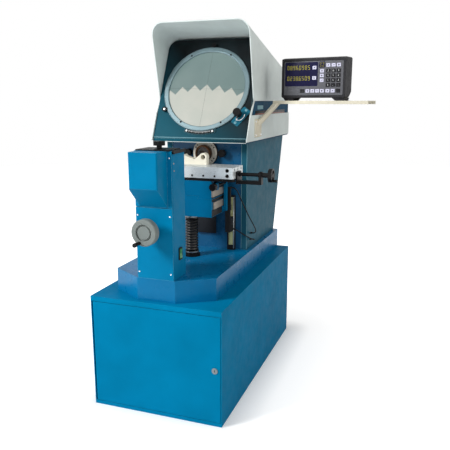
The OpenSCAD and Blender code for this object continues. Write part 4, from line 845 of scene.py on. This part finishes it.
rounded_plate("readout_face", (10.6, 10.6), (280.4, 152.4), 1.3, 0.6, face_grey, 5, 0.3)
rounded_plate("display_window", (15.5, 49), (167, 149), 0.7, 0.6, window_glass, 5, 0.3)
rounded_plate("status_window", (170.5, 124), (199, 150), 0.7, 0.6, window_glass, 4, 0.3)
rounded_plate("blank_badge", (20, 21), (86, 37), 0.8, 0.6, face_grey, 3, 0.3)
FIGURE_LEFT, FIGURE_STEP, FIGURE_HEIGHT = 24, 13.7, 16
display_row("figures_upper", "0896.0985", FIGURE_LEFT, 126, FIGURE_STEP, FIGURE_HEIGHT)
display_row("figures_lower", "0238.6509", FIGURE_LEFT, 81.5, FIGURE_STEP, FIGURE_HEIGHT)
display_row("figures_status_upper", "09", 173, 142.5, 12, 7)
display_row("figures_status_lower", "26", 173, 131.5, 12, 7)

PAD_X = (214, 237, 260)
PAD_Z = (53, 72.5, 92, 111)
PALE_KEYS = ([(152, 82.5), (152, 125)] + [(186.5, z) for z in PAD_Z[1:]] + [(x, 134) for x in PAD_X]
             + [(x, 29) for x in (123, 145.5, 167.5, 189, 214, 237)])
BLACK_KEYS = [(x, z) for x in PAD_X for z in PAD_Z] + [(98, 29), (260, 29)]
KEY_SIZE = (17.6, 3.9, 14.6)
DISH_Y = -1.68


def key_caps(name, places, material, node):
    """Rounded caps with a shallow dish in front."""
    bm = bmesh.new()
    for x, z in places:
        block(bm, (x, 0, z), KEY_SIZE, 1.2, 3)
    bm.normal_update()
    fronts = [face for face in bm.faces if face.normal.y < -0.99 and face.calc_area() > 1e-4]
    bmesh.ops.inset_individual(bm, faces=fronts, thickness=0.0014, depth=-0.0003)
    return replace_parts(finished(name, bm, material, "root", READOUT_FRAME, 50), node)


key_caps("key_caps_pale", PALE_KEYS, pale_key_plastic, "readout_keys_pale")
key_caps("key_caps_black", BLACK_KEYS, black_key_rubber, "readout_keys_black")


def key_figures():
    """Plain figures on the number keys."""
    rows = [("0", ".", "-"), ("1", "2", "3"), ("4", "5", "6"), ("7", "8", "9")]
    whole = bmesh.new()
    for z, row in zip(PAD_Z, rows):
        for x, sign in zip(PAD_X, row):
            line = bpy.data.curves.new("figure", "FONT")
            line.body = sign
            line.size = 10 * MM
            line.align_x = "CENTER"
            line.align_y = "CENTER"
            line.extrude = 0.1 * MM
            mesh = curve_mesh(line)
            place = Matrix.Translation(Vector((x, DISH_Y, z)) * MM)
            mesh.transform(place @ Matrix.Rotation(math.pi / 2, 4, "X"))
            whole.from_mesh(mesh)
            bpy.data.meshes.remove(mesh)
    return finished("key_figures", whole, mark_white, "root", READOUT_FRAME)


def key_signs():
    """Plain dark marks on the pale keys: a plus, a wedge, a minus or a diamond, in turn."""
    bm = bmesh.new()
    thick, radius = 0.2, 4.0
    for i, (x, z) in enumerate(PALE_KEYS):
        if i % 4 in (1, 3):
            corners = 3 if i % 4 == 1 else 4
            place = Matrix.Translation(Vector((x, DISH_Y, z)) * MM) @ Matrix.Rotation(math.pi / 2, 4, "X")
            bmesh.ops.create_cone(bm, cap_ends=True, segments=corners, radius1=radius * MM,
                                  radius2=radius * MM, depth=thick * MM, matrix=place)
            continue
        block(bm, (x, DISH_Y, z), (8, thick, 2))
        if i % 4 == 0:
            for side in (-1, 1):
                block(bm, (x, DISH_Y, z + side * 2.5), (2, thick, 3))
    return finished("key_signs", bm, mark_black, "root", READOUT_FRAME)


key_figures()
key_signs()


# Trim of the head and the body
def band_trim():
    """Black and copper strips along the lower edge of the head's band, and a blank label on its right."""
    middle, length = 330, 520
    strip, copper = bmesh.new(), bmesh.new()
    for side in (-1, 1):
        block(strip, (side * (BAND_SIDE + 0.6), middle, 1163), (1.2, length, 11), 0.3)
        block(copper, (side * (BAND_SIDE + 0.5), middle, 1154.3), (1.0, length, 5), 0.2)
    finished("band_strip", strip, black_oxide, "root")
    finished("band_copper_line", copper, copper_line, "root")
    label = bmesh.new()
    block(label, (BAND_SIDE + 0.2, 148, 1183), (0.6, 88, 17), 0.2)
    finished("band_blank_label", label, pale_blue_paint, "root")


def cover_edge_highlights():
    """Pale strips along the body cover's front flanges: painted highlights of their edges."""
    inner, outer, middle, tall = 166.2, 190.8, 794, 478
    bm = bmesh.new()
    for side in (-1, 1):
        for across in (inner, outer):
            block(bm, (side * across, COVER_FRONT - 0.2, middle), (1.8, 0.8, tall), 0.3)
    return finished("cover_edge_highlights", bm, pale_blue_paint, "root")


band_trim()
cover_edge_highlights()


# Reading scale in its housing beside the knee
def reading_scale():
    """The tape in the scale's housing, with its lines."""
    first_line, line_step, line_start = 580, 3, 114
    bm = bmesh.new()
    block(bm, (123, 23.6, 683.5), (20, 1.0, 218), 0.2, 1)
    finished("reading_scale", bm, scale_tape, "root")
    marks = bmesh.new()
    for i in range(70):
        long = 9 if i % 5 == 0 else 5
        block(marks, (line_start + long / 2, 23.05, first_line + line_step * i), (long, 0.12, 0.7))
    finished("reading_scale_marks", marks, mark_black, "root")


def scale_edge():
    """Bright edge of the scale's housing."""
    bm = bmesh.new()
    block(bm, (137, 21.7, 676), (3.6, 0.5, 236), 0.15)
    return finished("scale_bright_edge", bm, silver_plate, "root")


reading_scale()
scale_edge()


# Camera at the photograph's place, from a fit of the cabinet's and the ring's edges
EYE_PLACE = (0.9433, -2.3435, 1.2129)
EYE_YAW = math.radians(19.71)
EYE_PITCH = math.radians(12.33)
FOCAL_PIXELS = 569.6
PHOTO_PIXELS = 450


def camera():
    """The eye, which looks ahead and a little down, without roll."""
    data = bpy.data.cameras.new("photo_camera")
    data.sensor_width = 36.0
    data.lens = FOCAL_PIXELS / PHOTO_PIXELS * data.sensor_width
    data.clip_end = 50
    yaw, pitch = EYE_YAW, EYE_PITCH
    ahead = Vector((-math.sin(yaw) * math.cos(pitch), math.cos(yaw) * math.cos(pitch), -math.sin(pitch)))
    right = Vector((math.cos(yaw), math.sin(yaw), 0))
    up = right.cross(ahead)
    turn = Matrix((right, up, -ahead)).transposed().to_4x4()
    eye = bpy.data.objects.new("photo_camera", data)
    eye.matrix_world = Matrix.Translation(EYE_PLACE) @ turn
    bpy.context.scene.collection.objects.link(eye)
    bpy.context.scene.camera = eye


# Studio
def soft_box(name, place, aim, size, power, colour=(1, 1, 1)):
    """A round soft lamp, turned towards its aim."""
    data = bpy.data.lights.new(name, "AREA")
    data.shape = "DISK"
    data.size = size
    data.energy = power
    data.color = colour
    lamp = bpy.data.objects.new(name, data)
    lamp.matrix_world = (Matrix.Translation(place)
                         @ (Vector(aim) - Vector(place)).to_track_quat("-Z", "Y").to_matrix().to_4x4())
    bpy.context.scene.collection.objects.link(lamp)


def seen_ray(tree):
    """One for rays that show the background itself, nought for rays that light the object."""
    path = tree.nodes.new("ShaderNodeLightPath")
    first = calc(tree, "MAXIMUM", path.outputs["Is Camera Ray"], path.outputs["Is Glossy Ray"])
    return calc(tree, "MAXIMUM", first, path.outputs["Is Transmission Ray"])


def pale_floor():
    """Paint of the floor: it keeps the shadow at the cabinet's foot and pales to white away from it."""
    contact, near, far, near_reach, far_reach = 0.22, 0.62, 1.0, 0.13, 1.0
    material, tree, shader = new_finish("pale_floor")
    shader.inputs["Base Color"].default_value = (0.86, 0.86, 0.86, 1)
    shader.inputs["Roughness"].default_value = 0.9
    shader.inputs["Emission Color"].default_value = (1, 1, 1, 1)
    parts = tree.nodes.new("ShaderNodeSeparateXYZ")
    tree.links.new(own_place(tree), parts.inputs["Vector"])
    foot_low, foot_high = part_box("cabinet_shell")
    squares = []
    for axis in (0, 1):
        middle, half = (foot_low[axis] + foot_high[axis]) / 2, (foot_high[axis] - foot_low[axis]) / 2
        offset = calc(tree, "ABSOLUTE", calc(tree, "SUBTRACT", parts.outputs[axis], middle))
        gap = calc(tree, "MAXIMUM", calc(tree, "SUBTRACT", offset, half), 0.0)
        squares.append(calc(tree, "MULTIPLY", gap, gap))
    away = calc(tree, "SQRT", calc(tree, "ADD", squares[0], squares[1]))
    paling = calc(tree, "ADD", spread(tree, away, contact, near, 0, near_reach),
                  spread(tree, away, 0, far - near, near_reach, far_reach))
    shown = calc(tree, "MULTIPLY", paling, seen_ray(tree))
    tree.links.new(shown, shader.inputs["Emission Strength"])
    return material


def studio():
    """White surroundings, the floor and three soft lamps."""
    world = bpy.data.worlds.new("studio")
    world.use_nodes = True
    bpy.context.scene.world = world
    tree = world.node_tree
    back = tree.nodes["Background"]
    back.inputs["Color"].default_value = (1, 1, 1, 1)
    tree.links.new(spread(tree, seen_ray(tree), 0.2, 1.0, 0, 1), back.inputs["Strength"])
    bm = bmesh.new()
    bmesh.ops.create_circle(bm, cap_ends=True, radius=9, segments=96)
    bmesh.ops.recalc_face_normals(bm, faces=bm.faces)
    floor = finished("floor", bm, pale_floor(), None)
    soft_box("key_light", (-2.7, -3.1, 2.9), (0, 0, 0.8), 1.5, 190)
    soft_box("fill_light", (2.6, -0.6, 2.6), (0.2, 0.3, 1.45), 2.8, 36, (1, 0.97, 0.92))
    soft_box("front_light", (1.2, -4.4, 1.0), (0, 0, 0.8), 2.2, 21)


camera()
studio()
bpy.context.scene.view_settings.view_transform = "Standard"
